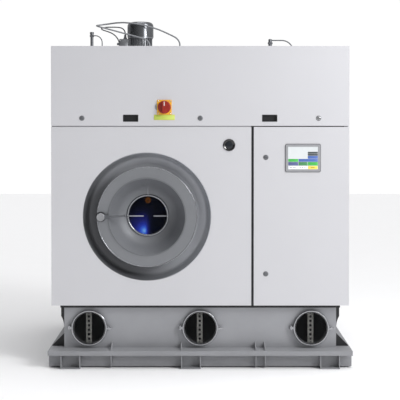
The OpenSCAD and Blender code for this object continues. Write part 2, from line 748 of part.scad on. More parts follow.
module door_bowl() color("#6f7175") {
    turn_y(drum_x, drum_z, sheet(dish_line, -3));
    // Round bead in front of the glass, skirt round it and ring behind it
    along_y(drum_x, drum_z) rotate_extrude($fn = 144) {
        translate([ring_r, y_glass - 6.5]) circle(r = 6.5, $fn = 32);
        translate([glass_r + 6, y_glass - 6]) square([skirt_t, glass_t + 9.3]);
        translate([glass_r - 3, y_glass + glass_t + fit_gap]) square([skirt_t + 9, 3]);
    }
}

module door_glass() color("#1a2233")
    bar_y(drum_x, drum_z, glass_r + 6 - fit_gap, y_glass, y_glass + glass_t, $fn = 144);

nozzle_r = 18;
nozzle_up = 90;

module spray_nozzle() color("#b08a4a") {
    y = y_glass + glass_t + fit_gap;
    difference() {
        union() {
            turn_y(drum_x, drum_z + nozzle_up, concat([[0, y + 15], [0, y + 5], [9, y + 5]],
                arc([nozzle_r - 4, y + 4], 4, -90, 0), [[nozzle_r, y + 15]]));
            block(drum_x - 7, drum_x + 7, y + 3 + fit_gap, y + 8, drum_z + nozzle_up + nozzle_r - 3,
                drum_z + glass_r + 9);
        }
        bar_y(drum_x, drum_z + nozzle_up, 4, y, y + 20);
    }
}

latch_tilt = 3;
hub_t = 28;

module latch_lever() color("#9a9ca0") {
    y_hub = y_door - fit_gap - hub_t;
    y_arm = y_hub + 11;
    translate([x_latch, 0, drum_z]) {
        turn_y(0, 0, concat([[0, y_hub]], arc([latch_hub_r - 6, y_hub + 6], 6, -90, 0),
            [[latch_hub_r, y_door - fit_gap], [0, y_door - fit_gap]]));
        rotate([0, -latch_tilt, 0]) {
            // Neck that narrows from the hub to the arm
            along_y(0, 0) translate([0, 0, y_arm - 8]) linear_extrude(16)
                polygon([[6, -22], [30, -14], [52, -7], [60, -5], [60, 5], [52, 7], [30, 14], [6, 22]]);
            translate([50, y_arm, 0]) rotate([0, 90, 0]) cylinder(r1 = 6.5, r2 = 5.5, h = latch_len - 58);
            translate([latch_len - 8, y_arm, 0]) sphere(r = 8);
        }
        // Spindle through the flange, with its tongue behind
        bar_y(0, 0, spindle_r, y_door - fit_gap - eps, y_door_back + 8);
        bar_y(0, 0, 13, y_door_back + fit_gap, y_door_back + 7);
        block(-tongue_w / 2, tongue_w / 2, y_door_back + fit_gap, y_door_back + 7, -tongue_len, 0);
    }
}

// ---- Tub, drum and drive ----

hub_r = 70;
band_r = tub_r + tub_t + 7;

module drum_shell() color("#8d8f93") difference() {
    union() {
        turn_y(drum_x, drum_z, [
            [neck_r, y_neck], [neck_r + neck_t + neck_lip, y_neck], [neck_r + neck_t + neck_lip, y_neck + 5],
            [neck_r + neck_t, y_neck + 5], [neck_r + neck_t, y_tub], [tub_r + tub_t, y_tub],
            [tub_r + tub_t, y_tub_back], [shaft_r + 10, y_tub_back], [shaft_r + 10, y_tub_back - tub_t],
            [tub_r, y_tub_back - tub_t], [tub_r, y_tub + tub_t], [neck_r, y_tub + tub_t]]);
        // Two stiffening bands
        for (y = [y_tub + 40, y_tub_back - 60]) along_y(drum_x, drum_z) translate([0, 0, y])
            rotate_extrude($fn = 144) translate([tub_r + tub_t - 1, 0]) square([band_r - tub_r - tub_t + 1, 20]);
        // Saddles on the cabinet's floor
        difference() {
            for (y = [y_tub + 70, y_tub_back - 130])
                block(drum_x - 300, drum_x + 300, y, y + 10, z_cab, drum_z - tub_r + 130);
            bar_y(drum_x, drum_z, tub_r + 1, y_tub, y_tub_back, $fn = 144);
        }
        // Drain
        translate([drum_x, y_drain, z_cab]) cylinder(r = drain_r + 4, h = drum_z - tub_r - tub_t / 2 - z_cab);
    }
    translate([drum_x, y_drain, z_cab - cut]) cylinder(r = drain_r, h = drum_z - tub_r - z_cab + 10);
}

module bearing_housing() color("#5d6064") difference() {
    union() {
        bar_y(drum_x, drum_z, 150, y_tub_back, y_tub_back + 14);
        bar_y(drum_x, drum_z, hub_r, y_tub_back, y_tub_back + hub_len);
        for (i = [0 : 5]) translate([drum_x, 0, drum_z]) rotate([0, i * 60, 0]) translate([-6, 0, 0])
            rotate([90, 0, 90]) linear_extrude(12)
                polygon([[y_tub_back + 13, hub_r - 5], [y_tub_back + 13, 140], [y_tub_back + 26, 140],
                    [y_tub_back + hub_len - 20, hub_r + 6], [y_tub_back + hub_len - 20, hub_r - 5]]);
    }
    bar_y(drum_x, drum_z, shaft_r + run_gap, y_tub_back - cut, y_tub_back + hub_len + cut);
}

module drum_sheet() rotate_extrude($fn = 144) polygon([
    [drum_mouth_r, y_drum], [drum_r, y_drum], [drum_r, y_drum_back], [0, y_drum_back],
    [0, y_drum_back - 5], [drum_r - drum_t, y_drum_back - 5], [drum_r - drum_t, y_drum + drum_t],
    [drum_mouth_r + 4, y_drum + drum_t], [drum_mouth_r + 4, y_drum + 12], [drum_mouth_r, y_drum + 12]]);

// Angle that the perforations take up between two lifters
hole_span = 360 / lifters - 34;

module drum_basket() color("#b5b7ba") along_y(drum_x, drum_z) {
    difference() {
        drum_sheet();
        // Perforations, each row half a step round from the one before
        for (l = [0 : lifters - 1], j = [0 : hole_rows - 1], i = [0 : hole_columns - 1])
            let (a = l * 360 / lifters + 45 + 180 / lifters - hole_span / 2
                + (i + (j % 2 == 0 ? 0.25 : 0.75)) * hole_span / hole_columns)
            rotate(a) translate([drum_r - drum_t - 5, 0, y_drum + (j + 0.8) * drum_len / (hole_rows + 0.8)])
                rotate([0, 90, 0]) cylinder(r = hole_r, h = drum_t + 10, $fn = 32);
    }
    // Lifters
    translate([0, 0, y_drum + drum_t - eps]) linear_extrude(drum_len - drum_t - 5 + 2 * eps) intersection() {
        circle(r = drum_r - 1, $fn = 144);
        for (i = [0 : lifters - 1]) rotate(45 + i * 360 / lifters)
            polygon(concat([[drum_r, -60]], arc([drum_r - 80, 0], 14, 230, 130, 6), [[drum_r, 60]]));
    }
    // Back cross and shaft
    translate([0, 0, y_drum_back - eps]) {
        for (a = [0, 60, 120]) rotate(a) translate([-drum_r + 40, -25, 0]) cube([2 * drum_r - 80, 50, 12]);
        cylinder(r = 90, h = 12);
        cylinder(r = shaft_r, h = y_pulley + pulley_w + 8 - y_drum_back);
    }
}

groove_d = 8;

// Flat-groove pulley profile from its bore out, on y_pulley
function pulley_profile(bore, hub, web_in, r) = [
    [bore, 0], [hub, 0], [hub, 14], [web_in, 14], [web_in, 0], [r + groove_d, 0], [r + groove_d, 4], [r, 7],
    [r, pulley_w - 7], [r + groove_d, pulley_w - 4], [r + groove_d, pulley_w], [web_in, pulley_w],
    [web_in, pulley_w - 14], [hub, pulley_w - 14], [hub, pulley_w], [bore, pulley_w]];

module drum_pulley() color("#4b4e52") along_y(drum_x, drum_z) translate([0, 0, y_pulley]) difference() {
    rotate_extrude($fn = 144) polygon(pulley_profile(shaft_r + run_gap, shaft_r + 25, big_pulley_r - 22, big_pulley_r));
    for (i = [0 : 4]) rotate(i * 72) translate([(shaft_r + big_pulley_r) / 2, 0, 0]) cylinder(r = 36, h = pulley_w);
}

motor_bore_r = 14;
y_motor = y_pulley + pulley_w + 12;

module motor_pulley() color("#4b4e52") along_y(motor_x, motor_z) translate([0, 0, y_pulley]) {
    rotate_extrude($fn = 96) polygon([[0, 0], [small_pulley_r + groove_d, 0], [small_pulley_r + groove_d, 4],
        [small_pulley_r, 7], [small_pulley_r, pulley_w - 7], [small_pulley_r + groove_d, pulley_w - 4],
        [small_pulley_r + groove_d, pulley_w], [0, pulley_w]]);
    cylinder(r = motor_bore_r, h = pulley_w + 12 + 60);
}

module drive_motor() color("#44505c") difference() {
    union() {
        bar_y(motor_x, motor_z, motor_r, y_motor, y_motor + motor_len);
        bar_y(motor_x, motor_z, motor_r + 8, y_motor, y_motor + 14);
        for (i = [0 : 15]) translate([motor_x, 0, motor_z]) rotate([0, 30 + i * 15, 0])
            block(-1.5, 1.5, y_motor + 20, y_motor + motor_len - 50, -motor_r - 8, -motor_r + 5);
        block(motor_x - 100, motor_x + 100, y_motor + 30, y_motor + 200, z_cab, z_cab + 12);
        for (s = [-1, 1]) block(motor_x + s * 60 - 11, motor_x + s * 60 + 11, y_motor + 34, y_motor + 195,
            z_cab + 11, motor_z - 45);
        block(motor_x - 45, motor_x + 45, y_motor + 60, y_motor + 150, motor_z + motor_r - 12,
            motor_z + motor_r + 42);
    }
    bar_y(motor_x, motor_z, motor_bore_r + run_gap, y_motor - cut, y_motor + 70);
}

// Outline round two unlike circles a distance c apart, the large one at the origin
module belt_outline(big, small, c) {
    lean = asin((big - small) / c);
    circle(r = big, $fn = 144);
    translate([0, c]) circle(r = small, $fn = 96);
    polygon([big * [cos(lean), sin(lean)], [0, c] + small * [cos(lean), sin(lean)],
        [0, c] + small * [-cos(lean), sin(lean)], big * [-cos(lean), sin(lean)]]);
}

module drive_belt() color("#202123") along_y(drum_x, drum_z) translate([0, 0, y_pulley + 8])
    linear_extrude(pulley_w - 16) difference() {
        belt_outline(big_pulley_r + fit_gap + belt_t, small_pulley_r + fit_gap + belt_t, belt_centres);
        belt_outline(big_pulley_r + fit_gap, small_pulley_r + fit_gap, belt_centres);
    }

module drum_lamp() color("#3559d8") {
    a = 245;
    translate([drum_x + (neck_r - 14) * cos(a), 0, drum_z + (neck_r - 14) * sin(a)]) rotate([0, -a, 0]) {
        bar_y(0, 0, 9, y_tub - 34, y_tub + tub_t + 2);
        block(0, 14 - fit_gap, y_tub - 30, y_tub - 10, -6, 6);
    }
}

// ---- Air circulation ----

duct_w = 160;
fan_case_r = 220;
fan_sheet = 3;
fan_inlet_r = 80;
blade_curve = 75;
blade_centre = 122;
coil_x0 = drum_x + 219;
coil_x1 = coil_x0 + 580;
coil_y0 = fan_y - 240;
coil_y1 = fan_y + 320;
coil_z0 = z_mid_rail + tube_w;
coil_z1 = z_roof_under - 40;
impeller_h = 120;
impeller_z = fan_z + 30;

// Fan case and its duct seen from above
module fan_plan(inset) {
    circle(r = fan_case_r - inset, $fn = 96);
    translate([0, -fan_case_r + inset]) square([coil_x0 - fan_x + (inset > 0 ? cut : 0), duct_w - 2 * inset]);
}

module fan_housing() color("#9b9da0") difference() {
    union() {
        translate([fan_x, fan_y, fan_z]) linear_extrude(fan_h) fan_plan(0);
        translate([fan_x, fan_y, drum_z]) cylinder(r = fan_inlet_r + fan_sheet, h = fan_z - drum_z + eps);
    }
    translate([fan_x, fan_y, fan_z + fan_sheet]) linear_extrude(fan_h - 2 * fan_sheet) fan_plan(fan_sheet);
    translate([fan_x, fan_y, drum_z - cut]) cylinder(r = fan_inlet_r, h = fan_z - drum_z + 10);
    translate([fan_x, fan_y, fan_z]) cylinder(r = 20, h = fan_h + cut);
    bar_y(drum_x, drum_z, band_r + fit_gap, y_tub - 400, y_tub_back + 400, $fn = 144);
}

// Where a blade's arc crosses a circle of radius r about the shaft
function blade_angle(r) = acos((r * r - blade_centre * blade_centre - blade_curve * blade_curve)
    / (2 * blade_centre * blade_curve));

module fan_impeller() color("#a3a6aa") translate([fan_x, fan_y, impeller_z]) {
    translate([0, 0, impeller_h]) cylinder(r = impeller_r, h = 4);
    difference() {
        cylinder(r = impeller_r, h = 3);
        translate([0, 0, -cut]) cylinder(r = fan_inlet_r, h = 5);
    }
    // Blades are arcs that lean back from the inlet's edge to the rim
    a_rim = blade_angle(impeller_r - 4);
    a_inlet = blade_angle(fan_inlet_r + 12);
    for (i = [0 : impeller_blades - 1]) rotate(i * 360 / impeller_blades)
        translate([blade_centre, 0, 2]) rotate(a_rim)
            rotate_extrude(angle = a_inlet - a_rim, $fn = 96)
                translate([blade_curve, 0]) square([3, impeller_h - 1]);
    translate([0, 0, 60]) cylinder(r = 34, h = impeller_h - 56);
    cylinder(r = motor_shaft_r, h = z_roof + 60 - impeller_z);
}

coil_duct_r = 80;
coil_duct_x = coil_x0 + 95;
coil_duct_y = fan_y - 140;

module coil_box() color("#b9bbbe") difference() {
    union() {
        block(coil_x0, coil_x1, coil_y0, coil_y1, coil_z0, coil_z1);
        translate([coil_duct_x, coil_duct_y, drum_z]) cylinder(r = coil_duct_r + fan_sheet, h = coil_z0 - drum_z + eps);
    }
    translate([coil_duct_x, coil_duct_y, drum_z - cut]) cylinder(r = coil_duct_r, h = coil_z0 - drum_z + 10);
    bar_y(drum_x, drum_z, band_r + fit_gap, y_tub - 400, y_tub_back + 400, $fn = 144);
    block(coil_x0 + fan_sheet, coil_x1 - fan_sheet, coil_y0 + fan_sheet, coil_y1 - fan_sheet,
        coil_z0 + fan_sheet, coil_z1 - fan_sheet);
    block(coil_x0 - cut, coil_x0 + fan_sheet + cut, fan_y - fan_case_r + fan_sheet,
        fan_y - fan_case_r + duct_w - fan_sheet, fan_z + fan_sheet, coil_z1 - 20);
}

// ---- Roof ----

z_fins = z_roof + 14;
z_body = z_roof + motor_body_h;
box_x = fan_x - motor_fin_r - 58;

module roof_motor() color("#77797c") difference() {
    union() {
        translate([fan_x, fan_y, z_roof]) cylinder(r = motor_fin_r + 10, h = 14);
        translate([fan_x, fan_y, z_fins - eps]) {
            cylinder(r = motor_fin_r - 9, h = z_body - z_fins);
            for (i = [0 : motor_fins - 1]) rotate(i * 360 / motor_fins)
                translate([motor_fin_r - 10, -1.3, 0]) cube([10, 2.6, z_body - z_fins - 12]);
        }
        // Ring that carries the cowl
        translate([fan_x, fan_y, z_body - 13]) cylinder(r = cowl_r - 2.5 - fit_gap, h = 13);
        // Terminal box with a gland on top and one at its side
        block(box_x, fan_x - motor_fin_r + 20, fan_y - 35, fan_y + 35, z_roof + 24, z_roof + 84);
        translate([fan_x - 100, fan_y + 5, z_roof + 84 - eps]) {
            cylinder(r = 12, h = 10, $fn = 6);
            cylinder(r1 = 10, r2 = 7, h = 29);
        }
        translate([box_x + eps, fan_y, z_roof + 54]) rotate([0, -90, 0]) {
            cylinder(r = 11, h = 8, $fn = 6);
            cylinder(r = 8, h = 18);
        }
    }
    translate([fan_x, fan_y, z_roof - cut]) cylinder(r = motor_shaft_r + run_gap, h = 64 + cut);
}

module roof_motor_cowl() color("#2e2f31") translate([fan_x, fan_y, z_body - 4]) difference() {
    wall = 2.5;
    round_r = 26;
    rotate_extrude($fn = 96) polygon(concat(
        [[cowl_r - wall, 0], [cowl_r, 0]],
        arc([cowl_r - round_r, cowl_h - round_r], round_r, 0, 90, 6),
        [[0, cowl_h], [0, cowl_h - wall]],
        arc([cowl_r - round_r, cowl_h - round_r], round_r - wall, 90, 0, 6)));
    // Air slots in the top
    for (i = [0 : 11]) rotate(i * 30) translate([18, -2, cowl_h - 10]) cube([34, 4, 20]);
}

vent_x = -half_w + 188;
vent_y = -100;
elbow_x = half_w - 438;
hose_ends = [for (p = [[260, -110], [66, -106], [-140, 104]]) [fan_x + p.x, fan_y + p.y]];
gland_h = 20;

module roof_pipes() color("#8a8c8e") {
    // Vent pipe with a valve on top and a thin tube that bends down to the roof
    translate([vent_x, vent_y, z_roof]) {
        cylinder(r = 18, h = 4);
        cylinder(r = 10, h = 118);
        translate([0, 0, 100]) cylinder(r = 14, h = 12, $fn = 6);
        translate([0, 0, 117]) cylinder(r = 13, h = 14);
        translate([0, 0, 108]) rotate([0, 90, 0]) cylinder(r = 3.5, h = 22);
        translate([22, 0, 63]) rotate([90, 0, 0]) rotate_extrude(angle = 90, $fn = 96)
            translate([45, 0]) circle(r = 3.5, $fn = 24);
        translate([67, 0, 0]) cylinder(r = 3.5, h = 63);
        translate([67, 0, 0]) cylinder(r = 8, h = 8);
    }
    // Elbow with a thin tube that arches down to the roof
    translate([elbow_x, vent_y, z_roof]) {
        cylinder(r = 20, h = 4);
        rotate_extrude() polygon(concat([[0, 0], [12, 0]], arc([6, 80], 6, 0, 90, 4), [[0, 86]]));
        translate([0, 0, 52]) cylinder(r = 16, h = 12, $fn = 6);
        translate([0, 0, 77]) rotate([0, 90, 0]) cylinder(r = 4, h = 75);
        translate([75, 0, 0]) rotate([90, 0, 0]) rotate_extrude(angle = 90, $fn = 96)
            translate([77, 0]) circle(r = 4, $fn = 24);
        translate([75 + 77, 0, 0]) cylinder(r = 10, h = 8);
    }
    // Glands for the free hose and cable
    for (p = hose_ends) translate([p.x, p.y, z_roof]) {
        cylinder(r = 13, h = 8, $fn = 6);
        cylinder(r1 = 10, r2 = 7.5, h = gland_h);
    }
}

// Free hose: from the right gland over the cowl's front, round a turn at the left, back to the middle gland
hose_route = [
    [260, -110, 20], [260, -110, 35], [258, -110, 51], [251, -110, 67], [240, -110, 80], [226, -109, 90],
    [209, -108, 99], [188, -108, 109], [160, -107, 122], [142, -106, 130], [122, -106, 138], [101, -106, 145],
    [80, -105, 152], [58, -105, 158], [35, -104, 164], [12, -103, 169], [-12, -102, 174], [-36, -100, 178],
    [-60, -97, 181], [-84, -92, 183], [-107, -84, 185], [-130, -73, 185], [-151, -62, 185], [-170, -51, 184],
    [-185, -42, 183], [-205, -33, 181], [-227, -28, 179], [-248, -31, 176], [-267, -43, 172], [-277, -63, 168],
    [-277, -85, 164], [-267, -104, 159], [-249, -116, 153], [-226, -119, 147], [-200, -119, 140], [-166, -118, 131],
    [-132, -117, 122], [-98, -115, 113], [-65, -113, 104], [-33, -111, 96], [-4, -110, 88], [16, -109, 82],
    [32, -108, 76], [46, -107, 69], [57, -106, 58], [63, -106, 45], [66, -106, 30], [66, -106, 20]];
hose_d = 10;

// Free cable: from the motor's gland to the left, round a turn, back to the rear gland
cable_route = [
    [-100, 5, 113], [-100, 5, 122], [-102, 5, 135], [-109, 5, 147], [-120, 5, 156], [-134, 5, 161],
    [-150, 6, 163], [-170, 7, 164], [-192, 8, 164], [-215, 10, 164], [-237, 17, 162], [-254, 33, 160],
    [-260, 55, 157], [-254, 77, 153], [-238, 93, 148], [-215, 101, 141], [-193, 103, 131], [-174, 104, 117],
    [-159, 104, 99], [-149, 104, 78], [-143, 104, 56], [-140, 104, 36], [-140, 104, 20]];
cable_d = 8;

// Both routes are measured from the roof under the motor
module hose_loop() color("#a9abad") translate([fan_x, fan_y, z_roof]) swept_tube(hose_route, hose_d / 2, 12);
module motor_cable() color("#3b3c3e") translate([fan_x, fan_y, z_roof]) swept_tube(cable_route, cable_d / 2, 10);

// ---- Flap and its pieces ----

z_lock = z_flap + lock_up;
lock_pitch = half_w - lock_end;
z_switch = z_flap + switch_up;
hole_gap = 0.2;
switch_shaft_r = 5;
label_w = 125;
label_h = 32;

// Cut for a hinge ear behind a folded edge, with room to swing
ear_room = 6;

module upper_flap() color("#e4e4e8") difference() {
    union() {
        block(-half_w, half_w, y_front, y_sheet, z_flap, z_roof);
        for (z = [z_flap, z_roof - sheet_t]) block(-half_w, half_w, y_front, y_front + return_d, z, z + sheet_t);
        for (side = [0, 1]) mirror([side, 0, 0])
            block(half_w - sheet_t, half_w, y_front, y_front + return_d, z_flap, z_roof);
    }
    for (x = [-grip_x, grip_x]) block(x - grip_w / 2, x + grip_w / 2, y_front - cut, y_sheet + cut,
        z_lock - grip_h / 2, z_lock + grip_h / 2);
    for (x = [-lock_pitch, 0, lock_pitch]) bar_y(x, z_lock, lock_r - 4 + run_gap, y_front - cut, y_sheet + cut);
    bar_y(switch_x, z_switch, 12, y_front - cut, y_sheet + cut);
    for (side = [0, 1]) mirror([side, 0, 0]) {
        translate([half_w - 10, y_front + hinge_in, z_roof - hinge_in]) rotate([0, 90, 0])
            cylinder(r = panel_pin_r + run_gap, h = 20);
        block(post_x - ear_room, post_x + ear_t + ear_room, y_sheet + 0.5, y_front + return_d + cut,
            z_roof - 2 * sheet_t, z_roof - cut + 2 * cut);
    }
}

module flap_grips() color("#161719") for (x = [-grip_x, grip_x]) difference() {
    w = grip_w / 2 - hole_gap;
    h = grip_h / 2 - hole_gap;
    block(x - w, x + w, y_front, y_front + grip_d, z_lock - h, z_lock + h);
    // The hollow runs up behind the front edge for the fingers
    translate([x - w + 3, 0, z_lock]) rotate([90, 0, 90]) linear_extrude(2 * w - 6)
        polygon([[y_front - cut, -h + 3], [y_front + grip_d - 3, -h + 3], [y_front + grip_d - 3, h - 3],
            [y_front - cut, h - 3]]);
}

module switch_plate() color("#e3b52c") {
    difference() {
        front_plate(switch_x, z_switch, switch_plate_w, switch_plate_w, 4, y_front - 3, y_front);
        bar_y(switch_x, z_switch, switch_shaft_r + run_gap, y_front - 4, y_front + cut);
    }
    // Blank plate below
    front_plate(switch_x, z_switch - switch_plate_w / 2 - 1 - label_h / 2, label_w, label_h, 2,
        y_front - 1.5, y_front);
    // Switch body behind the flap
    difference() {
        block(switch_x - 29, switch_x + 29, y_sheet, y_sheet + 55, z_switch - 29, z_switch + 29);
        bar_y(switch_x, z_switch, switch_shaft_r + run_gap, y_sheet - cut, y_sheet + 24);
    }
}

module switch_knob() color("#a32a22") {
    y_knob = y_front - 3 - fit_gap;
    turn_y(switch_x, z_switch, concat([[0, y_knob - 12]], arc([knob_r - 5, y_knob - 7], 5, -90, 0),
        [[knob_r, y_knob], [0, y_knob]]));
    front_plate(switch_x, z_switch, 22, 2 * knob_r - 6, 8, y_knob - 30, y_knob - 12 + eps);
    bar_y(switch_x, z_switch, switch_shaft_r, y_knob - eps, y_sheet + 20);
}

// Quarter-turn lock: slotted head, shank and tongue that points down, turned by a
module quarter_lock(x, z, tongue, a) color("#6c6e71") translate([x, 0, z]) rotate([0, a, 0]) difference() {
    union() {
        turn_y(0, 0, concat([[0, y_front - 4]], arc([lock_r - 3, y_front - 1], 3, -90, 0),
            [[lock_r, y_front], [0, y_front]]));
        bar_y(0, 0, lock_r - 4, y_front - eps, y_front + 17);
        block(-6, 6, y_front + 13, y_front + 16, -tongue, 0);
    }
    block(-1.2, 1.2, y_front - 5, y_front - 2, -lock_r + 3, lock_r - 3);
}

module flap_lock(i) quarter_lock(i * lock_pitch, z_lock, 30, 0);

// ---- Control door and its pieces ----

x_bezel = x_door_edge + bezel_from_edge;
z_bezel = z_cab + bezel_up;
x_lock = x_door_edge + lock_in;
control_lock_zs = [z_cab + 191, z_seam - 183];
screen_in = 14;
bezel_out = 6;

module control_door() color("#e9e9ee") difference() {
    union() {
        block(x_door_edge, half_w, y_front, y_sheet, z_cab, z_seam);
        for (z = [z_cab, z_seam - sheet_t]) block(x_door_edge, half_w, y_front, y_front + return_d, z, z + sheet_t);
        for (x = [x_door_edge, half_w - sheet_t]) block(x, x + sheet_t, y_front, y_front + return_d, z_cab, z_seam);
    }
    block(x_bezel - bezel_w / 2 + 9, x_bezel + bezel_w / 2 - 9, y_front - cut, y_sheet + cut,
        z_bezel - bezel_h / 2 + 9, z_bezel + bezel_h / 2 - 9);
    for (z = control_lock_zs) bar_y(x_lock, z, lock_r - 4 + run_gap, y_front - cut, y_sheet + cut);
    translate([half_w - hinge_in, y_front + hinge_in, z_cab - cut])
        cylinder(r = panel_pin_r + run_gap, h = lower_h + 2 * cut);
    // Cuts in the folded edge for the hinge ears
    for (z = [z_cab + sheet_t, z_seam - sheet_t - 4 - ear_t - ear_room])
        block(half_w - sheet_t - cut, half_w + cut, y_sheet + 0.5, y_front + return_d + cut,
            z, z + 4 + ear_t + ear_room);
}

module display_bezel() color("#7d8084") difference() {
    union() {
        front_plate(x_bezel, z_bezel, bezel_w, bezel_h, 8, y_front - bezel_out, y_front);
        block(x_bezel - bezel_w / 2 + 9.3, x_bezel + bezel_w / 2 - 9.3, y_front - eps, y_front + 45,
            z_bezel - bezel_h / 2 + 9.3, z_bezel + bezel_h / 2 - 9.3);
    }
    block(x_bezel - bezel_w / 2 + screen_in, x_bezel + bezel_w / 2 - screen_in,
        y_front - bezel_out - cut, y_front - 1, z_bezel - bezel_h / 2 + screen_in, z_bezel + bezel_h / 2 - screen_in);
}

module display_screen() color("#b9c6c4")
    block(x_bezel - bezel_w / 2 + screen_in + fit_gap, x_bezel + bezel_w / 2 - screen_in - fit_gap,
        y_front - 4, y_front - 1, z_bezel - bezel_h / 2 + screen_in + fit_gap,
        z_bezel + bezel_h / 2 - screen_in - fit_gap);

// ---- Equipment inside the cabinet ----

vessel_x = half_w - 335;
filter_r = 150;
filter_y = -180;
filter_top = z_cab + 820;
still_r = 230;
still_y = 330;
still_top = z_cab + 720;
pump_x = vessel_x - 310;
pump_y = -330;
pump_r = 80;
pump_z = z_cab + 130;
compressor_x = vessel_x - 375;
pipe_r = 17;

// Upright vessel with a dished head, a flat foot ring and an open nozzle on top
module vessel(x, y, r, z1, nozzle_r, t) translate([x, y, 0]) {
    rotate_extrude($fn = 96) polygon(sheet(concat(
        [[r - t, z_cab + 60], [r - t, z1 - r * 0.45]],
        arc([r * 0.6 - t, z1 - r * 0.45], r * 0.4, 0, 70, 5),
        [[nozzle_r, z1], [nozzle_r, z1 + 30]]), -t));
    translate([0, 0, z_cab + 60]) cylinder(r = r - t / 2, h = t);
    translate([0, 0, z1 - r * 0.6]) difference() {
        cylinder(r = r + 14, h = 16);
        translate([0, 0, -cut]) cylinder(r = r - t / 2, h = 20);
    }
    for (a = [45 : 90 : 315]) rotate(a) translate([r - 26, -14, z_cab]) cube([20, 28, 62]);
}

module filter_vessel() color("#a2a5a8") vessel(vessel_x, filter_y, filter_r, filter_top, 24, 4);
module still_vessel() color("#a2a5a8") vessel(vessel_x, still_y, still_r, still_top, 40, 4);

module solvent_pump() color("#3f5b78") {
    bar_y(pump_x, pump_z, pump_r, pump_y - 50, pump_y);
    bar_y(pump_x, pump_z, 62, pump_y - eps, pump_y + 210);
    bar_y(pump_x, pump_z, 26, pump_y - 70, pump_y - 50 + eps);
    translate([pump_x, pump_y - 25, pump_z]) cylinder(r = 24, h = pump_r + 40);
    block(pump_x - 70, pump_x + 70, pump_y - 40, pump_y + 190, z_cab, z_cab + 10);
    for (y = [pump_y - 30, pump_y + 150]) block(pump_x - 50, pump_x + 50, y, y + 16, z_cab + 9, pump_z - 20);
}

module compressor() color("#26282a") translate([compressor_x, still_y, 0]) {
    rotate_extrude($fn = 96) polygon(concat([[0, z_cab + 30]], arc([80, z_cab + 60], 30, -90, 0),
        arc([70, z_cab + 230], 40, 0, 90), [[0, z_cab + 270]]));
    for (a = [45 : 90 : 315]) rotate(a) translate([60, -16, z_cab]) cube([66, 32, 34]);
}

panel_depth = 96;

module electrical_box() color("#9a9da0") {
    x0 = x_post + tube_w / 2 + fit_gap;
    x1 = post_x - tube_w / 2 - fit_gap;
    y0 = -post_y + 3;
    y1 = y0 + panel_depth;
    z0 = z_cab + 330;
    z1 = z_seam - 60;
    block(x0, x1, y1 - 3, y1, z0, z1);
    for (x = [x0, x1 - 3]) block(x, x + 3, y0, y1, z0, z1);
    // Wire ducts, breakers, contactors and controller on the plate
    rows = 4;
    pitch = (z1 - z0 - 60) / rows;
    for (r = [0 : rows - 1]) let (z = z0 + 50 + r * pitch) {
        block(x0 + 30, x1 - 30, y1 - 40, y1 - 3 + eps, z - 30, z - 4);
        count = r < 2 ? 6 : 9;
        w = (x1 - x0 - 80) / count;
        for (i = [0 : count - 1]) block(x0 + 40 + i * w, x0 + 36 + (i + 1) * w, y1 - (r < 2 ? 78 : 60), y1 - 3 + eps,
            z + 12, z + pitch - 54);
    }
}

module solvent_pipes() color("#b8bbbe") {
    // From the pump's outlet up and across into the filter's side
    outlet_z = pump_z + pump_r + 40 + fit_gap;
    pipe_run([[pump_x, pump_y - 25, outlet_z], [pump_x, pump_y - 25, outlet_z + 90],
        [vessel_x, pump_y - 25, outlet_z + 90], [vessel_x, filter_y - filter_r - fit_gap, outlet_z + 90]], pipe_r);
    // From the filter's top over to the tub
    riser_x = drum_x + tub_r + tub_t + pipe_r;
    pipe_run([[vessel_x, filter_y, filter_top + 31], [vessel_x, filter_y, filter_top + 90],
        [riser_x, filter_y, filter_top + 90], [riser_x, filter_y, drum_z],
        [drum_x + tub_r + tub_t + fit_gap, filter_y, drum_z]], pipe_r);
}

// ---- Drawing ----

drip_tray();
foot_brackets();
tank_shell();
tank_front();
base_frame();
level_gauges();
cabinet_frame();
front_panel();
side_panels();
rear_panel();
roof_panel();
sight_port();
door_collar();
door_seal();
hinge_and_keeper();
drum_shell();
bearing_housing();
drive_motor();
drive_belt();
drum_lamp();
fan_housing();
roof_motor();
roof_motor_cowl();
coil_box();
still_vessel();
filter_vessel();
solvent_pump();
compressor();
electrical_box();
solvent_pipes();
roof_pipes();
hose_loop();
motor_cable();
upper_flap();
flap_grips();
switch_plate();
switch_knob();
flap_lock(-1);  // flap_lock_left
flap_lock(0);  // flap_lock_middle
flap_lock(1);  // flap_lock_right
control_door();
display_bezel();
display_screen();
quarter_lock(x_lock, control_lock_zs[1], 44, 90);  // control_lock_upper
quarter_lock(x_lock, control_lock_zs[0], 44, 90);  // control_lock_lower
door_flange();
door_bowl();
door_glass();
spray_nozzle();
latch_lever();
drum_basket();
drum_pulley();
motor_pulley();
fan_impeller();
port_cover(port_xs[0]);  // port_cover_left
port_cover(port_xs[1]);  // port_cover_middle
port_cover(port_xs[2]);  // port_cover_right
port_glass(port_xs[0]);  // port_glass_left
port_glass(port_xs[1]);  // port_glass_middle
port_glass(port_xs[2]);  // port_glass_right
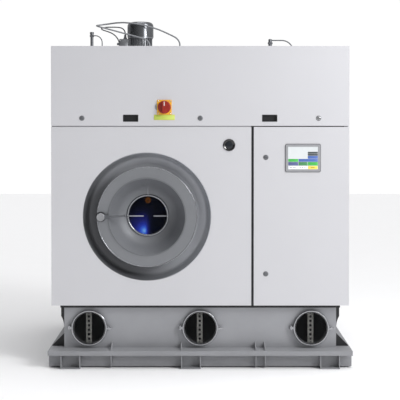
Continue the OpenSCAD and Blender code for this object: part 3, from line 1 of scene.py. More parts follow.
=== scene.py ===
import math
import bmesh
import bpy
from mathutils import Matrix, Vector


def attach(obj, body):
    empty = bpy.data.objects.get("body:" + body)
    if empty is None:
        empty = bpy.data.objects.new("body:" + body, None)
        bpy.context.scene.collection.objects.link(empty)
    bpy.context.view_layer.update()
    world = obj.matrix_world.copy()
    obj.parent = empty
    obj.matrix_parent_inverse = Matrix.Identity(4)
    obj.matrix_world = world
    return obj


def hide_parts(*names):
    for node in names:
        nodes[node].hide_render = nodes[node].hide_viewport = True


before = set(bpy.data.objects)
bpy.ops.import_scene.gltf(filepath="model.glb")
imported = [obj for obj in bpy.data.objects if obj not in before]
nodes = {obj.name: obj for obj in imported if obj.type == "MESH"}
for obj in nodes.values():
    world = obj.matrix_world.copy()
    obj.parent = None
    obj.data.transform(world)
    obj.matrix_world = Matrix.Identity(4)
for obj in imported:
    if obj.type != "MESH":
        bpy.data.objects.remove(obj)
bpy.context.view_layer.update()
scene = bpy.context.scene

# ---------------------------------------------------------------- places in the frame, in metres

FRONT, BACK, SIDE, ROOF = -0.640, 0.640, 0.895, 1.932  # outer faces of the cabinet
DRUM_X, DRUM_Z = -0.319, 0.908                         # axis of the drum and of the loading door
LATCH_X, LATCH_Z = -0.595, 0.908                       # axis of the latch
HINGE_X, HINGE_Y, HINGE_Z = -0.044, -0.625, 0.908      # the door hinge's pin, at half height
SWITCH_X, SWITCH_Z = -0.215, 1.565                     # middle of the main switch's plate
LABEL_W, LABEL_TOP, LABEL_FOOT = 0.0622, 0.0453, 0.0768  # blank plate: half width, edges below
GRIP_X, GRIP_Z = 0.417, 1.499                          # finger grips in the flap, at both sides
GRIP_W, GRIP_H = 0.0455, 0.021                         # half the width and height of a grip's rim
FLAP_LOCKS = [(x, 1.499) for x in (-0.710, 0.0, 0.710)]
DOOR_LOCKS = [(0.394, z) for z in (1.264, 0.563)]
SIGHT_X, SIGHT_Z = 0.174, 1.338                        # axis of the sight port
BEZEL_X, BEZEL_Z = 0.617, 1.260                        # middle of the display
BEZEL_W, BEZEL_H = 0.107, 0.085                        # half the width and height of its gasket
SCREEN_W, SCREEN_H = 0.0902, 0.0682                    # half the width and height of its screen
SEAM_LEFT, SEAM_RIGHT = -0.892, 0.305                  # ends of the seal under the flap
CLAMP_Y, CLAMP_R = -0.5389, 0.1205                     # screws of the ring behind the door's glass
PORTS = (("left", -0.671), ("middle", 0.0), ("right", 0.671))
PORT_Z = 0.231                                         # height of the tank ports' axes
MOTOR_X, MOTOR_Y = -0.390, -0.100                      # axis of the roof motor
COWL_Z, COWL_R = 2.040, 0.0849                         # screws round the motor's cowl
FOOT_Z, FOOT_R = 1.946, 0.0815                         # bolts round the motor's foot
LOW, MIDDLE, HIGH = 0.392, 1.15, 1.912                 # heights of the wall panels' screws
FORWARD, BACKWARD, UPWARD = (0, -1, 0), (0, 1, 0), (0, 0, 1)
WHITE, BLACK = (1, 1, 1, 1), (0, 0, 0, 1)

# ---------------------------------------------------------------- camera

cam_data = bpy.data.cameras.new("camera")
cam = bpy.data.objects.new("camera", cam_data)
scene.collection.objects.link(cam)
cam.location = (0.0, -6.64, 1.473)
cam.rotation_euler = (math.radians(89.0), 0.0, 0.0)
cam_data.lens = 90.0
cam_data.sensor_width = 36.0
cam_data.shift_x = -0.0005
cam_data.shift_y = -0.15
scene.camera = cam

# ---------------------------------------------------------------- shader nodes


def node(tree, kind, place, inputs=None, **settings):
    """New shader node. An input's value is the output socket it is linked to, or a fixed value."""
    n = tree.nodes.new("ShaderNode" + kind)
    n.location = place
    for key, value in settings.items():
        setattr(n, key, value)
    for key, value in (inputs or {}).items():
        if isinstance(value, bpy.types.NodeSocket):
            tree.links.new(value, n.inputs[key])
        else:
            n.inputs[key].default_value = value
    return n


def noise(tree, place, coords, scale, detail, rough=0.5):
    settings = {"Vector": coords, "Scale": scale, "Detail": detail, "Roughness": rough}
    return node(tree, "TexNoise", place, settings).outputs["Fac"]


def remap(tree, place, value, old, new, shape="LINEAR"):
    """The value with the range old = (from, to) brought to the range new."""
    settings = {"Value": value, "From Min": old[0], "From Max": old[1], "To Min": new[0], "To Max": new[1]}
    return node(tree, "MapRange", place, settings, interpolation_type=shape).outputs["Result"]


def number(tree, place, operation, *terms):
    return node(tree, "Math", place, dict(enumerate(terms)), operation=operation).outputs["Value"]


def vector(tree, place, operation, *terms):
    out = "Value" if operation in ("LENGTH", "DOT_PRODUCT") else "Vector"
    return node(tree, "VectorMath", place, dict(enumerate(terms)), operation=operation).outputs[out]


def blend(tree, place, share, first, second):
    """Colour between first, where share is 0, and second, where it is 1."""
    settings = {"Fac": share, "Color1": first, "Color2": second}
    return node(tree, "MixRGB", place, settings, blend_type="MIX").outputs["Color"]


def ramp(tree, place, value, first, last, between=()):
    """Colour ramp: each stop is a (position, colour) pair."""
    n = node(tree, "ValToRGB", place, {"Fac": value})
    stops = n.color_ramp.elements
    for stop, (position, color) in zip(stops, (first, last)):
        stop.position, stop.color = position, color
    for position, color in between:
        stops.new(position).color = color
    return n.outputs["Color"]


def stretched(tree, place, coords, scale):
    return node(tree, "Mapping", place, {"Vector": coords, "Scale": scale}).outputs["Vector"]


# ---------------------------------------------------------------- materials


def rgb(*values):
    """Linear colour from 0-255 display values."""
    def one(v):
        v /= 255.0
        return v / 12.92 if v <= 0.04045 else ((v + 0.055) / 1.055) ** 2.4
    return tuple(one(v) for v in values) + (1.0,)


def toned(color, factor, lift=0.0):
    return tuple(min(1.0, c * factor + lift) for c in color[:3]) + (1.0,)


def dirtied(t, place, last, color, amount, top):
    """Darker blots that fade from the floor up to the height top."""
    z = node(t, "SeparateXYZ", (-1200, 500), {"Vector": place}).outputs["Z"]
    height = remap(t, (-950, 520), z, (0.0, top), (1.0, 0.0))
    blots = noise(t, (-950, 760), place, scale=14.0, detail=6.0, rough=0.7)
    both = number(t, (-720, 620), "MULTIPLY", height, blots)
    share = number(t, (-540, 620), "MULTIPLY", both, amount * 1.6)
    return blend(t, (-360, 380), share, last, toned(color, 0.45))


def scuffed(t, place, last, color, amount):
    """Thin lighter scuffs."""
    drawn = stretched(t, (-1200, -500), place, (0.4, 1.0, 2.2))
    lines = noise(t, (-950, -500), drawn, scale=60.0, detail=8.0, rough=0.75)
    thin = remap(t, (-720, -500), lines, (0.62, 0.72), (0.0, amount))
    return blend(t, (-180, 380), thin, last, toned(color, 1.5, 0.03))


def painted_shade_tone(t, place, last, x, z, reach, least, most):
    """Painted shade and light: a tone factor that runs from least at the lower left of (x, z), where the shade
    falls, to most at its upper right, where the light comes from.
    """
    off = vector(t, (-1200, 900), "SUBTRACT", place, (x, 0.0, z))
    along = vector(t, (-1000, 900), "DOT_PRODUCT", off, (0.90, 0.0, 0.44))
    tone = remap(t, (-800, 900), along, (-reach, reach), (least, most), "SMOOTHSTEP")
    return node(t, "VectorMath", (-100, 600), {0: last, "Scale": tone}, operation="SCALE").outputs["Vector"]


def material(name, color, metallic=0.0, rough=0.5, mottle=0.04, mottle_scale=4.0, rough_var=0.06,
             bump=0.1, bump_scale=500.0, stretch=(1, 1, 1), spun=None, coat=0.0, dirt=0.0, dirt_top=0.1,
             worn=0.0, spec=0.5, painted_shade=None):
    """Surface with mottled colour, uneven gloss and a fine relief.

    stretch scales the relief's axes for brushed metal, and spun = (x, z) turns it into rings about that
    line. dirt, worn and painted_shade = (x, z, reach, least, most) are for the functions above; painted_shade
    paints shade and light into the colour."""
    m = bpy.data.materials.new(name)
    m.use_nodes = True
    t = m.node_tree
    shader = t.nodes["Principled BSDF"]
    for key, value in (("Metallic", metallic), ("Coat Weight", coat), ("Specular IOR Level", spec)):
        shader.inputs[key].default_value = value
    place = node(t, "TexCoord", (-1500, 0)).outputs["Object"]
    clouds = noise(t, (-1200, 200), place, scale=mottle_scale, detail=4.0, rough=0.6)
    last = ramp(t, (-950, 250), clouds, (0.32, toned(color, 1 - mottle)), (0.68, toned(color, 1 + mottle)))
    if dirt:
        last = dirtied(t, place, last, color, dirt, dirt_top)
    if worn:
        last = scuffed(t, place, last, color, worn)
    if painted_shade:
        last = painted_shade_tone(t, place, last, *painted_shade)
    t.links.new(last, shader.inputs["Base Color"])
    patches = noise(t, (-1200, -50), place, scale=mottle_scale * 3.1, detail=3.0)
    gloss = remap(t, (-950, -50), patches, (0.3, 0.7),
                  (max(0.02, rough - rough_var), min(1.0, rough + rough_var)))
    t.links.new(gloss, shader.inputs["Roughness"])
    if spun:
        away = vector(t, (-1200, -250), "SUBTRACT", place, (spun[0], 0.0, spun[1]))
        flat = vector(t, (-1060, -250), "MULTIPLY", away, (1.0, 0.0, 1.0))
        grain = vector(t, (-900, -250), "LENGTH", flat)
    else:
        grain = stretched(t, (-950, -300), place, stretch)
    height = noise(t, (-720, -250), grain, scale=bump_scale, detail=2.0)
    relief = node(t, "Bump", (-450, -250), {"Height": height, "Strength": bump, "Distance": 0.0006})
    t.links.new(relief.outputs["Normal"], shader.inputs["Normal"])
    return m


def emit(m, color, strength):
    shader = m.node_tree.nodes["Principled BSDF"]
    shader.inputs["Emission Color"].default_value = color
    shader.inputs["Emission Strength"].default_value = strength


def glowing(name, color, strength):
    m = material(name, color, rough=0.25, bump=0.02, mottle=0.02)
    emit(m, color, strength)
    return m


def glass(name, color, rough, alpha, spec):
    m = material(name, color, rough=rough, bump=0.01, bump_scale=60, mottle=0.1, rough_var=rough * 0.3,
                 spec=spec)
    m.node_tree.nodes["Principled BSDF"].inputs["Alpha"].default_value = alpha
    return m


def painted_lamp_glow(m, x, z, reach):
    """Painted glow of the drum lamp's deep blue light in the glass, as emission: brightest at (x, z), gone
    beyond reach and right of the middle.
    """
    t = m.node_tree
    shader = t.nodes["Principled BSDF"]
    place = node(t, "TexCoord", (-1500, 1100)).outputs["Object"]
    off = vector(t, (-1300, 1100), "SUBTRACT", place, (x, 0.0, z))
    flat = vector(t, (-1100, 1100), "MULTIPLY", off, (1.0, 0.0, 0.95))
    near = remap(t, (-700, 1100), vector(t, (-900, 1100), "LENGTH", flat), (reach, 0.0), (0.0, 1.0))
    across = node(t, "SeparateXYZ", (-900, 900), {"Vector": place}).outputs["X"]
    left = remap(t, (-700, 860), across, (x + 0.060, x + 0.004), (0.0, 1.0), "SMOOTHSTEP")
    light = ramp(t, (-320, 980), number(t, (-500, 980), "MULTIPLY", near, left),
                 (0.0, BLACK), (1.0, rgb(120, 180, 240)),
                 ((0.25, rgb(8, 9, 32)), (0.6, rgb(28, 31, 104)), (0.78, rgb(40, 56, 168)),
                  (0.88, rgb(58, 100, 216))))
    t.links.new(light, shader.inputs["Emission Color"])
    shader.inputs["Emission Strength"].default_value = 0.8


paint = material("panel paint", rgb(202, 202, 206), rough=0.42, mottle=0.012, mottle_scale=1.2,
                 rough_var=0.04, bump=0.12, bump_scale=420)
spun_door = material("spun stainless door", rgb(136, 138, 142), metallic=0.6, rough=0.48, mottle=0.03,
                     mottle_scale=3, spun=(DRUM_X, DRUM_Z), bump=0.10, bump_scale=900)
spun_dark = material("spun stainless bowl", rgb(116, 118, 122), metallic=0.4, rough=0.56, mottle=0.04,
                     mottle_scale=4, spun=(DRUM_X, DRUM_Z), bump=0.12, bump_scale=700)
bead_steel = material("bead steel", rgb(150, 152, 156), metallic=0.9, rough=0.24, mottle=0.03,
                      mottle_scale=12, bump=0.04, bump_scale=700)
# Painted shade and light: the collar's colour is darkened towards the lower left of the door, where the
# flange's shadow falls, and lightened towards the upper right.
collar_steel = material("collar steel", rgb(156, 158, 163), metallic=0.35, rough=0.42, mottle=0.04,
                        mottle_scale=3, spun=(DRUM_X, DRUM_Z), bump=0.08, bump_scale=800,
                        painted_shade=(DRUM_X, DRUM_Z, 0.33, 0.36, 1.60))
tank_steel = material("tank steel", rgb(158, 159, 163), metallic=0.35, rough=0.45, mottle=0.07,
                      mottle_scale=2.4, bump=0.15, bump_scale=260, stretch=(0.05, 1, 1), dirt=0.25,
                      dirt_top=0.22)
tray_paint = material("tray paint", rgb(150, 151, 155), metallic=0.1, rough=0.5, mottle=0.06,
                      mottle_scale=5, bump=0.2, bump_scale=220, dirt=0.5, dirt_top=0.14, worn=0.35)
port_steel = material("port ring steel", rgb(160, 161, 164), metallic=0.95, rough=0.2, mottle=0.05,
                      mottle_scale=9, bump=0.06, bump_scale=500)
lever_steel = material("latch steel", rgb(108, 110, 114), metallic=0.75, rough=0.36, mottle=0.05,
                       mottle_scale=20, bump=0.08, bump_scale=700)
bright = material("bright chrome", rgb(205, 206, 208), metallic=1.0, rough=0.16, mottle=0.03,
                  mottle_scale=30, bump=0.03, bump_scale=600)
dull_steel = material("dull steel", rgb(120, 122, 126), metallic=0.7, rough=0.42, mottle=0.08,
                      mottle_scale=18, bump=0.12, bump_scale=480)
inner_steel = material("inner steel", rgb(150, 151, 154), metallic=0.8, rough=0.35, mottle=0.06,
                       mottle_scale=4, bump=0.1, bump_scale=340, stretch=(1, 0.06, 1))
zinc = material("zinc plate", rgb(168, 171, 174), metallic=0.75, rough=0.46, mottle=0.14,
                mottle_scale=26, bump=0.08, bump_scale=160)
black_paint = material("black paint", rgb(28, 29, 31), rough=0.45, mottle=0.12, mottle_scale=8,
                       bump=0.16, bump_scale=380, worn=0.2)
frame_paint = material("frame paint", rgb(66, 67, 71), rough=0.5, mottle=0.08, mottle_scale=8,
                       bump=0.16, bump_scale=380, worn=0.2)
casting = material("casting", rgb(86, 89, 93), metallic=0.25, rough=0.6, mottle=0.1, mottle_scale=16,
                   bump=0.5, bump_scale=190)
motor_paint = material("motor paint", rgb(138, 140, 144), metallic=0.6, rough=0.32, mottle=0.1,
                       mottle_scale=18, bump=0.25, bump_scale=240)
cowl_paint = material("cowl paint", rgb(118, 120, 124), metallic=0.95, rough=0.22, mottle=0.05,
                      mottle_scale=9, rough_var=0.03, bump=0.03, bump_scale=300)
pump_paint = material("pump enamel", rgb(52, 84, 120), rough=0.35, mottle=0.1, mottle_scale=14,
                      bump=0.3, bump_scale=200, coat=0.3)
rubber = material("black rubber", rgb(26, 26, 27), rough=0.7, mottle=0.15, mottle_scale=30, bump=0.3,
                  bump_scale=350, spec=0.3)
grip_plastic = material("grip plastic", rgb(28, 29, 32), rough=0.48, mottle=0.1, mottle_scale=40,
                        bump=0.3, bump_scale=900)
port_plastic = material("sight port plastic", rgb(22, 22, 24), rough=0.2, mottle=0.1, mottle_scale=20,
                        bump=0.05, bump_scale=500, coat=0.4)
bezel_plastic = material("bezel plastic", rgb(158, 159, 163), metallic=0.2, rough=0.4, mottle=0.03,
                         mottle_scale=30, bump=0.2, bump_scale=900)
box_plastic = material("equipment plastic", rgb(150, 153, 156), rough=0.5, mottle=0.08,
                       mottle_scale=22, bump=0.1, bump_scale=600)
yellow = material("yellow plastic", rgb(240, 178, 42), rough=0.35, mottle=0.03, mottle_scale=40,
                  bump=0.08, bump_scale=700)
red = material("red plastic", rgb(150, 38, 26), rough=0.36, mottle=0.06, mottle_scale=50, bump=0.1,
               bump_scale=700)
brass = material("brass", rgb(196, 146, 74), metallic=0.8, rough=0.34, mottle=0.12, mottle_scale=60,
                 bump=0.1, bump_scale=600)
# Painted glow: the brass nozzle emits warm orange light, though it is no lamp.
emit(brass, rgb(236, 150, 60), strength=0.9)
gauge = material("gauge strip", rgb(226, 226, 220), metallic=0.3, rough=0.45, mottle=0.2,
                 mottle_scale=50, bump=0.3, bump_scale=300)
hose_mat = material("hose sheath", rgb(138, 140, 144), metallic=0.2, rough=0.42, mottle=0.06,
                    mottle_scale=30, bump=0.25, bump_scale=260)
cable_mat = material("cable sheath", rgb(86, 88, 91), rough=0.5, mottle=0.08, mottle_scale=40,
                     bump=0.2, bump_scale=400)
window = glass("door window", rgb(3, 5, 16), rough=0.05, alpha=0.74, spec=0.06)
# Painted glow: the door glass emits the drum lamp's blue light, brightest low in the window.
painted_lamp_glow(window, DRUM_X - 0.022, DRUM_Z - 0.094, reach=0.15)
port_window = glass("port window", rgb(5, 6, 7), rough=0.05, alpha=0.36, spec=0.15)
lamp_mat = glowing("lamp lens", (0.10, 0.28, 1.0, 1.0), strength=18.0)
screen_mat = glowing("screen", rgb(196, 200, 202), strength=0.35)

LOOKS = (
    (paint, "front_panel side_panels rear_panel roof_panel upper_flap control_door"),
    (tray_paint, "drip_tray foot_brackets"),
    (tank_steel, "tank_shell tank_front"),
    (black_paint, "base_frame compressor"),
    (frame_paint, "cabinet_frame"),
    (gauge, "level_gauges"),
    (port_plastic, "sight_port"),
    (collar_steel, "door_collar"),
    (spun_door, "door_flange"),
    (spun_dark, "door_bowl"),
    (window, "door_glass"),
    (brass, "spray_nozzle"),
    (lever_steel, "latch_lever"),
    (rubber, "door_seal drive_belt"),
    (dull_steel, "hinge_and_keeper roof_pipes flap_lock_left flap_lock_middle "
                 "control_lock_upper control_lock_lower"),
    (bright, "flap_lock_right"),
    (inner_steel, "drum_shell drum_basket still_vessel filter_vessel solvent_pipes"),
    (casting, "bearing_housing drum_pulley motor_pulley"),
    (motor_paint, "drive_motor roof_motor"),
    (cowl_paint, "roof_motor_cowl"),
    (zinc, "fan_housing fan_impeller coil_box"),
    (pump_paint, "solvent_pump"),
    (box_plastic, "electrical_box"),
    (lamp_mat, "drum_lamp"),
    (grip_plastic, "flap_grips"),
    (yellow, "switch_plate"),
    (red, "switch_knob"),
    (bezel_plastic, "display_bezel"),
    (screen_mat, "display_screen"),
    (port_steel, "port_cover_left port_cover_middle port_cover_right"),
    (port_window, "port_glass_left port_glass_middle port_glass_right"),
    (hose_mat, "hose_loop"),
    (cable_mat, "motor_cable"))
look_of = {name: mat for mat, names in LOOKS for name in names.split()}
for name, o in nodes.items():
    o.data.materials.clear()
    o.data.materials.append(look_of[name])

# ---------------------------------------------------------------- cords


def smooth_path(points, steps=6):
    """Catmull-Rom points, in metres, through a route in millimetres."""
    p = [Vector(q) / 1000.0 for q in points]
    out = []
    for i in range(len(p) - 1):
        a, b, c, d = p[max(i - 1, 0)], p[i], p[i + 1], p[min(i + 2, len(p) - 1)]
        for k in range(steps):
            u = k / steps
            out.append(0.5 * ((2 * b) + (c - a) * u + (2 * a - 5 * b + 4 * c - d) * u * u
                              + (3 * b - a - 3 * c + d) * u ** 3))
    out.append(p[-1])
    return out


def cord_piece(name, route, diameter, mat, replaced):
    path = smooth_path(route)
    curve = bpy.data.curves.new(name, "CURVE")
    curve.dimensions = "3D"
    curve.bevel_depth = diameter / 2
    curve.bevel_resolution = 5
    curve.use_fill_caps = True
    s = curve.splines.new("POLY")
    s.points.add(len(path) - 1)
    for q, v in zip(s.points, path):
        q.co = (*v, 1.0)
    curve.materials.append(mat)
    o = bpy.data.objects.new(name, curve)
    scene.collection.objects.link(o)
    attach(o, "machine")
    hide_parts(replaced)


# From the right gland over the front of the roof motor, round a turn at the left, back to the middle gland
HOSE = [(-130, -210, 1952), (-130, -210, 1967), (-132, -210, 1983), (-139, -210, 1999), (-150, -210, 2012),
        (-164, -209, 2022), (-181, -208, 2031), (-202, -208, 2041), (-230, -207, 2054), (-248, -206, 2062),
        (-268, -206, 2070), (-289, -206, 2077), (-310, -205, 2084), (-332, -205, 2090), (-355, -204, 2096),
        (-378, -203, 2101), (-402, -202, 2106), (-426, -200, 2110), (-450, -197, 2113), (-474, -192, 2115),
        (-497, -184, 2117), (-520, -173, 2117), (-541, -162, 2117), (-560, -151, 2116), (-575, -142, 2115),
        (-595, -133, 2113), (-617, -128, 2111), (-638, -131, 2108), (-657, -143, 2104), (-667, -163, 2100),
        (-667, -185, 2096), (-657, -204, 2091), (-639, -216, 2085), (-616, -219, 2079), (-590, -219, 2072),
        (-556, -218, 2063), (-522, -217, 2054), (-488, -215, 2045), (-455, -213, 2036), (-423, -211, 2028),
        (-394, -210, 2020), (-374, -209, 2014), (-358, -208, 2008), (-344, -207, 2001), (-333, -206, 1990),
        (-327, -206, 1977), (-324, -206, 1962), (-324, -206, 1952)]
# From the motor's terminal box round to the left gland
CABLE = [(-490, -95, 2045), (-490, -95, 2054), (-492, -95, 2067), (-499, -95, 2079), (-510, -95, 2088),
         (-524, -95, 2093), (-540, -94, 2095), (-560, -93, 2096), (-582, -92, 2096), (-605, -90, 2096),
         (-627, -83, 2094), (-644, -67, 2092), (-650, -45, 2089), (-644, -23, 2085), (-628, -7, 2080),
         (-605, 1, 2073), (-583, 3, 2063), (-564, 4, 2049), (-549, 4, 2031), (-539, 4, 2010),
         (-533, 4, 1988), (-530, 4, 1968), (-530, 4, 1952)]
cord_piece("roof_hose", HOSE, 0.010, hose_mat, "hose_loop")
cord_piece("roof_cable", CABLE, 0.008, cable_mat, "motor_cable")

# ---------------------------------------------------------------- helpers for pieces


def finish_mesh(bm, name, mat, body, smooth=35):
    """Makes the piece: it rides on body, takes slot's finish and keeps edges above smooth degrees sharp."""
    for f in bm.faces:
        f.smooth = True
    for e in bm.edges:
        e.smooth = not (len(e.link_faces) == 2 and e.calc_face_angle(0) > math.radians(smooth))
    me = bpy.data.meshes.new(name)
    bm.to_mesh(me)
    bm.free()
    me.materials.append(mat)
    o = bpy.data.objects.new(name, me)
    scene.collection.objects.link(o)
    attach(o, body)


def outline(bm, box, y, corner, inset, segs):
    """Ring of vertices facing -Y: box = (x0, x1, z0, z1) with round corners, drawn in by inset."""
    x0, x1, z0, z1 = box
    r = max(corner - inset, 1e-5)
    ring = []
    for cx, cz, turn in ((x1 - corner, z1 - corner, 0), (x0 + corner, z1 - corner, 90),
                         (x0 + corner, z0 + corner, 180), (x1 - corner, z0 + corner, 270)):
        for k in range(segs + 1):
            t = math.radians(turn + 90 * k / segs)
            ring.append(bm.verts.new((cx + r * math.cos(t), y, cz + r * math.sin(t))))
    return ring


def join_rings(bm, rings):
    for a, b in zip(rings, rings[1:]):
        for i in range(len(a)):
            j = (i + 1) % len(a)
            bm.faces.new((a[i], a[j], b[j], b[i]))


def plate(bm, lo, hi, corner=0.002, edge=0.0006, segs=5):
    """Rounded plate facing -Y: lo is (x, y, z) at its lower left and back, hi at its upper right and front."""
    (x0, y_back, z0), (x1, y_front, z1) = lo, hi
    r = min(corner, (x1 - x0) / 2 - 1e-5, (z1 - z0) / 2 - 1e-5)
    box = (x0, x1, z0, z1)
    rings = [outline(bm, box, y, r, inset, segs)
             for inset, y in ((0, y_back), (0, y_front + edge), (edge, y_front))]
    join_rings(bm, rings)
    bm.faces.new(rings[-1])
    bm.faces.new(list(reversed(rings[0])))


def strip_ring(bm, box, y_back, y_front, width, corner):
    """Flat rectangular frame facing -Y, such as a gasket."""
    rings = [outline(bm, box, y, corner, inset, 6)
             for inset, y in ((0, y_back), (0, y_front), (width, y_front), (width, y_back))]
    join_rings(bm, rings + rings[:1])


def lathe(bm, centre, axis, profile, segs=32):
    """Turns (radius, height) pairs about an axis through centre."""
    axis = Vector(axis).normalized()
    side = axis.orthogonal().normalized()
    up = axis.cross(side)
    c = Vector(centre)
    turns = [math.radians(360.0 * k / segs) for k in range(segs)]
    rings = []
    for r, h in profile:
        if r < 1e-7:
            rings.append([bm.verts.new(c + axis * h)])
        else:
            rings.append([bm.verts.new(c + axis * h + r * (math.cos(t) * side + math.sin(t) * up))
                          for t in turns])
    for a, b in zip(rings, rings[1:]):
        for i in range(segs):
            j = (i + 1) % segs
            if len(a) == 1 and len(b) == 1:
                continue
            if len(a) == 1:
                bm.faces.new((a[0], b[j], b[i]))
            elif len(b) == 1:
                bm.faces.new((a[i], a[j], b[0]))
            else:
                bm.faces.new((a[i], a[j], b[j], b[i]))


def turned(name, centres, profile, segs, mat, body):
    """Piece of round parts that face -Y, one on each centre."""
    bm = bmesh.new()
    for centre in centres:
        lathe(bm, centre, FORWARD, profile, segs)
    finish_mesh(bm, name, mat, body)


def screw_head(bm, centre, axis, r, h, hexed=False):
    """Pan or hexagon head with its washer, standing on centre along axis."""
    lathe(bm, centre, axis, [(0, -0.0004), (r * 1.5, -0.0004), (r * 1.5, 0.0005), (r * 1.42, 0.0008),
                             (r * 1.05, 0.0008)], 20)
    if hexed:
        lathe(bm, centre, axis, [(r, 0.0006), (r, h), (r * 0.9, h * 1.15), (0, h * 1.15)], 6)
    else:
        lathe(bm, centre, axis, [(r, 0.0006), (r, h * 0.6), (r * 0.85, h * 0.95), (r * 0.5, h * 1.1),
                                 (r * 0.42, h * 0.7), (0, h * 0.7)], 20)


def screws(name, points, axis, body, r, h, hexed=False):
    bm = bmesh.new()
    for p in points:
        screw_head(bm, p, axis, r, h, hexed)
    finish_mesh(bm, name, bright, body)


# ---------------------------------------------------------------- floor and light

bm = bmesh.new()
bmesh.ops.create_grid(bm, x_segments=1, y_segments=1, size=14)
me = bpy.data.meshes.new("floor")
bm.to_mesh(me)
bm.free()
floor = bpy.data.objects.new("floor", me)
scene.collection.objects.link(floor)
floor.location = (0, 0, -0.0005)
me.materials.append(material("floor paint", (0.93, 0.93, 0.94, 1), rough=0.85, mottle=0.004, bump=0.02,
                             spec=0.1))

# World: brighter to the right, above and behind, and white where the camera sees it
world = bpy.data.worlds.new("studio")
scene.world = world
world.use_nodes = True
wt = world.node_tree
background = wt.nodes["Background"]
direction = node(wt, "TexCoord", (-1400, 0)).outputs["Generated"]
xyz = node(wt, "SeparateXYZ", (-1200, 0), {"Vector": direction}).outputs
sideways = number(wt, (-1000, 100), "MULTIPLY_ADD", xyz["X"], 0.58, 0.62)
above = number(wt, (-820, 60), "MULTIPLY_ADD", xyz["Z"], 0.18, sideways)
grey = number(wt, (-640, 60), "MAXIMUM", above, 0.12)
behind = remap(wt, (-820, -180), xyz["Y"], (0.0, 0.35), (0.0, 1.0))
lit = blend(wt, (-440, 0), behind, grey, WHITE)
seen = node(wt, "LightPath", (-640, 300)).outputs["Is Camera Ray"]
wt.links.new(blend(wt, (-220, 0), seen, lit, (1.81, 1.81, 1.81, 1)), background.inputs["Color"])
background.inputs["Strength"].default_value = 0.56


def lamp(name, kind, strength):
    d = bpy.data.lights.new(name, kind)
    d.energy = strength
    o = bpy.data.objects.new(name, d)
    scene.collection.objects.link(o)
    return o, d


def area(name, place, aim, size, watts):
    o, d = lamp(name, "AREA", watts)
    d.shape = "RECTANGLE"
    d.size, d.size_y = size
    o.location = place
    o.rotation_euler = (Vector(aim) - Vector(place)).to_track_quat("-Z", "Y").to_euler()


def sun(name, towards, strength, spread):
    """Distant light that shines from the direction towards, spread degrees wide."""
    o, d = lamp(name, "SUN", strength)
    d.angle = math.radians(spread)
    o.rotation_euler = Vector(towards).to_track_quat("Z", "Y").to_euler()


area("key light", place=(2.3, -2.5, 2.5), aim=(0.2, -0.6, 1.1), size=(1.0, 1.4), watts=42)
sun("side light", towards=(0.74, -0.50, 0.44), strength=0.98, spread=20)
sun("top light", towards=(0.10, -0.08, 0.98), strength=1.2, spread=50)
scene.view_settings.view_transform = "Standard"
scene.view_settings.look = "None"

# ---------------------------------------------------------------- display

# Name, material, colour, glow and blocks, as shares of the screen's width and of its height from the top
SCREEN_PARTS = (
    ("screen_status", "screen slate", (70, 76, 78), 0.25,
     ((0.657, 0.992, 0.225, 0.305), (0.657, 0.992, 0.315, 0.395))),
    ("screen_blue", "screen blue", (72, 98, 160), 0.45,
     ((0.657, 0.992, 0.405, 0.53), (0.35, 0.992, 0.54, 0.665))),
    ("screen_green", "screen green", (66, 160, 74), 0.45,
     ((0.008, 0.34, 0.54, 0.665), (0.657, 0.992, 0.675, 0.832))),
    ("screen_dark_green", "screen dark green", (70, 128, 84), 0.35, ((0.35, 0.648, 0.675, 0.832),)),
    ("screen_violet", "screen violet", (84, 92, 132), 0.35, ((0.008, 0.34, 0.675, 0.832),)),
    ("screen_keys", "screen keys", (214, 216, 220), 0.5,
     ((0.012, 0.325, 0.85, 0.985), (0.338, 0.645, 0.85, 0.985))),
    ("screen_key_yellow", "screen yellow", (226, 196, 84), 0.5, ((0.668, 0.985, 0.85, 0.985),)),
    ("screen_marks", "screen marks", (60, 70, 90), 0.1,
     ((0.06, 0.13, 0.905, 0.93), (0.15, 0.27, 0.905, 0.93), (0.39, 0.44, 0.905, 0.93),
      (0.46, 0.51, 0.905, 0.93), (0.53, 0.59, 0.905, 0.93), (0.75, 0.90, 0.905, 0.93))))
screen_x, screen_z = BEZEL_X - SCREEN_W, BEZEL_Z + SCREEN_H
for name, look, color, glow, blocks in SCREEN_PARTS:
    bm = bmesh.new()
    for left, right, top, foot in blocks:
        plate(bm, (screen_x + 2 * SCREEN_W * left, FRONT - 0.0039, screen_z - 2 * SCREEN_H * foot),
              (screen_x + 2 * SCREEN_W * right, FRONT - 0.0047, screen_z - 2 * SCREEN_H * top),
              corner=0.0015, edge=0.0003, segs=3)
    finish_mesh(bm, name, glowing(look, rgb(*color), glow), "control_door")

bm = bmesh.new()
strip_ring(bm, (BEZEL_X - BEZEL_W, BEZEL_X + BEZEL_W, BEZEL_Z - BEZEL_H, BEZEL_Z + BEZEL_H), FRONT,
           FRONT - 0.0012, width=0.0028, corner=0.010)
finish_mesh(bm, "bezel_gasket", rubber, "control_door")

# ---------------------------------------------------------------- main switch

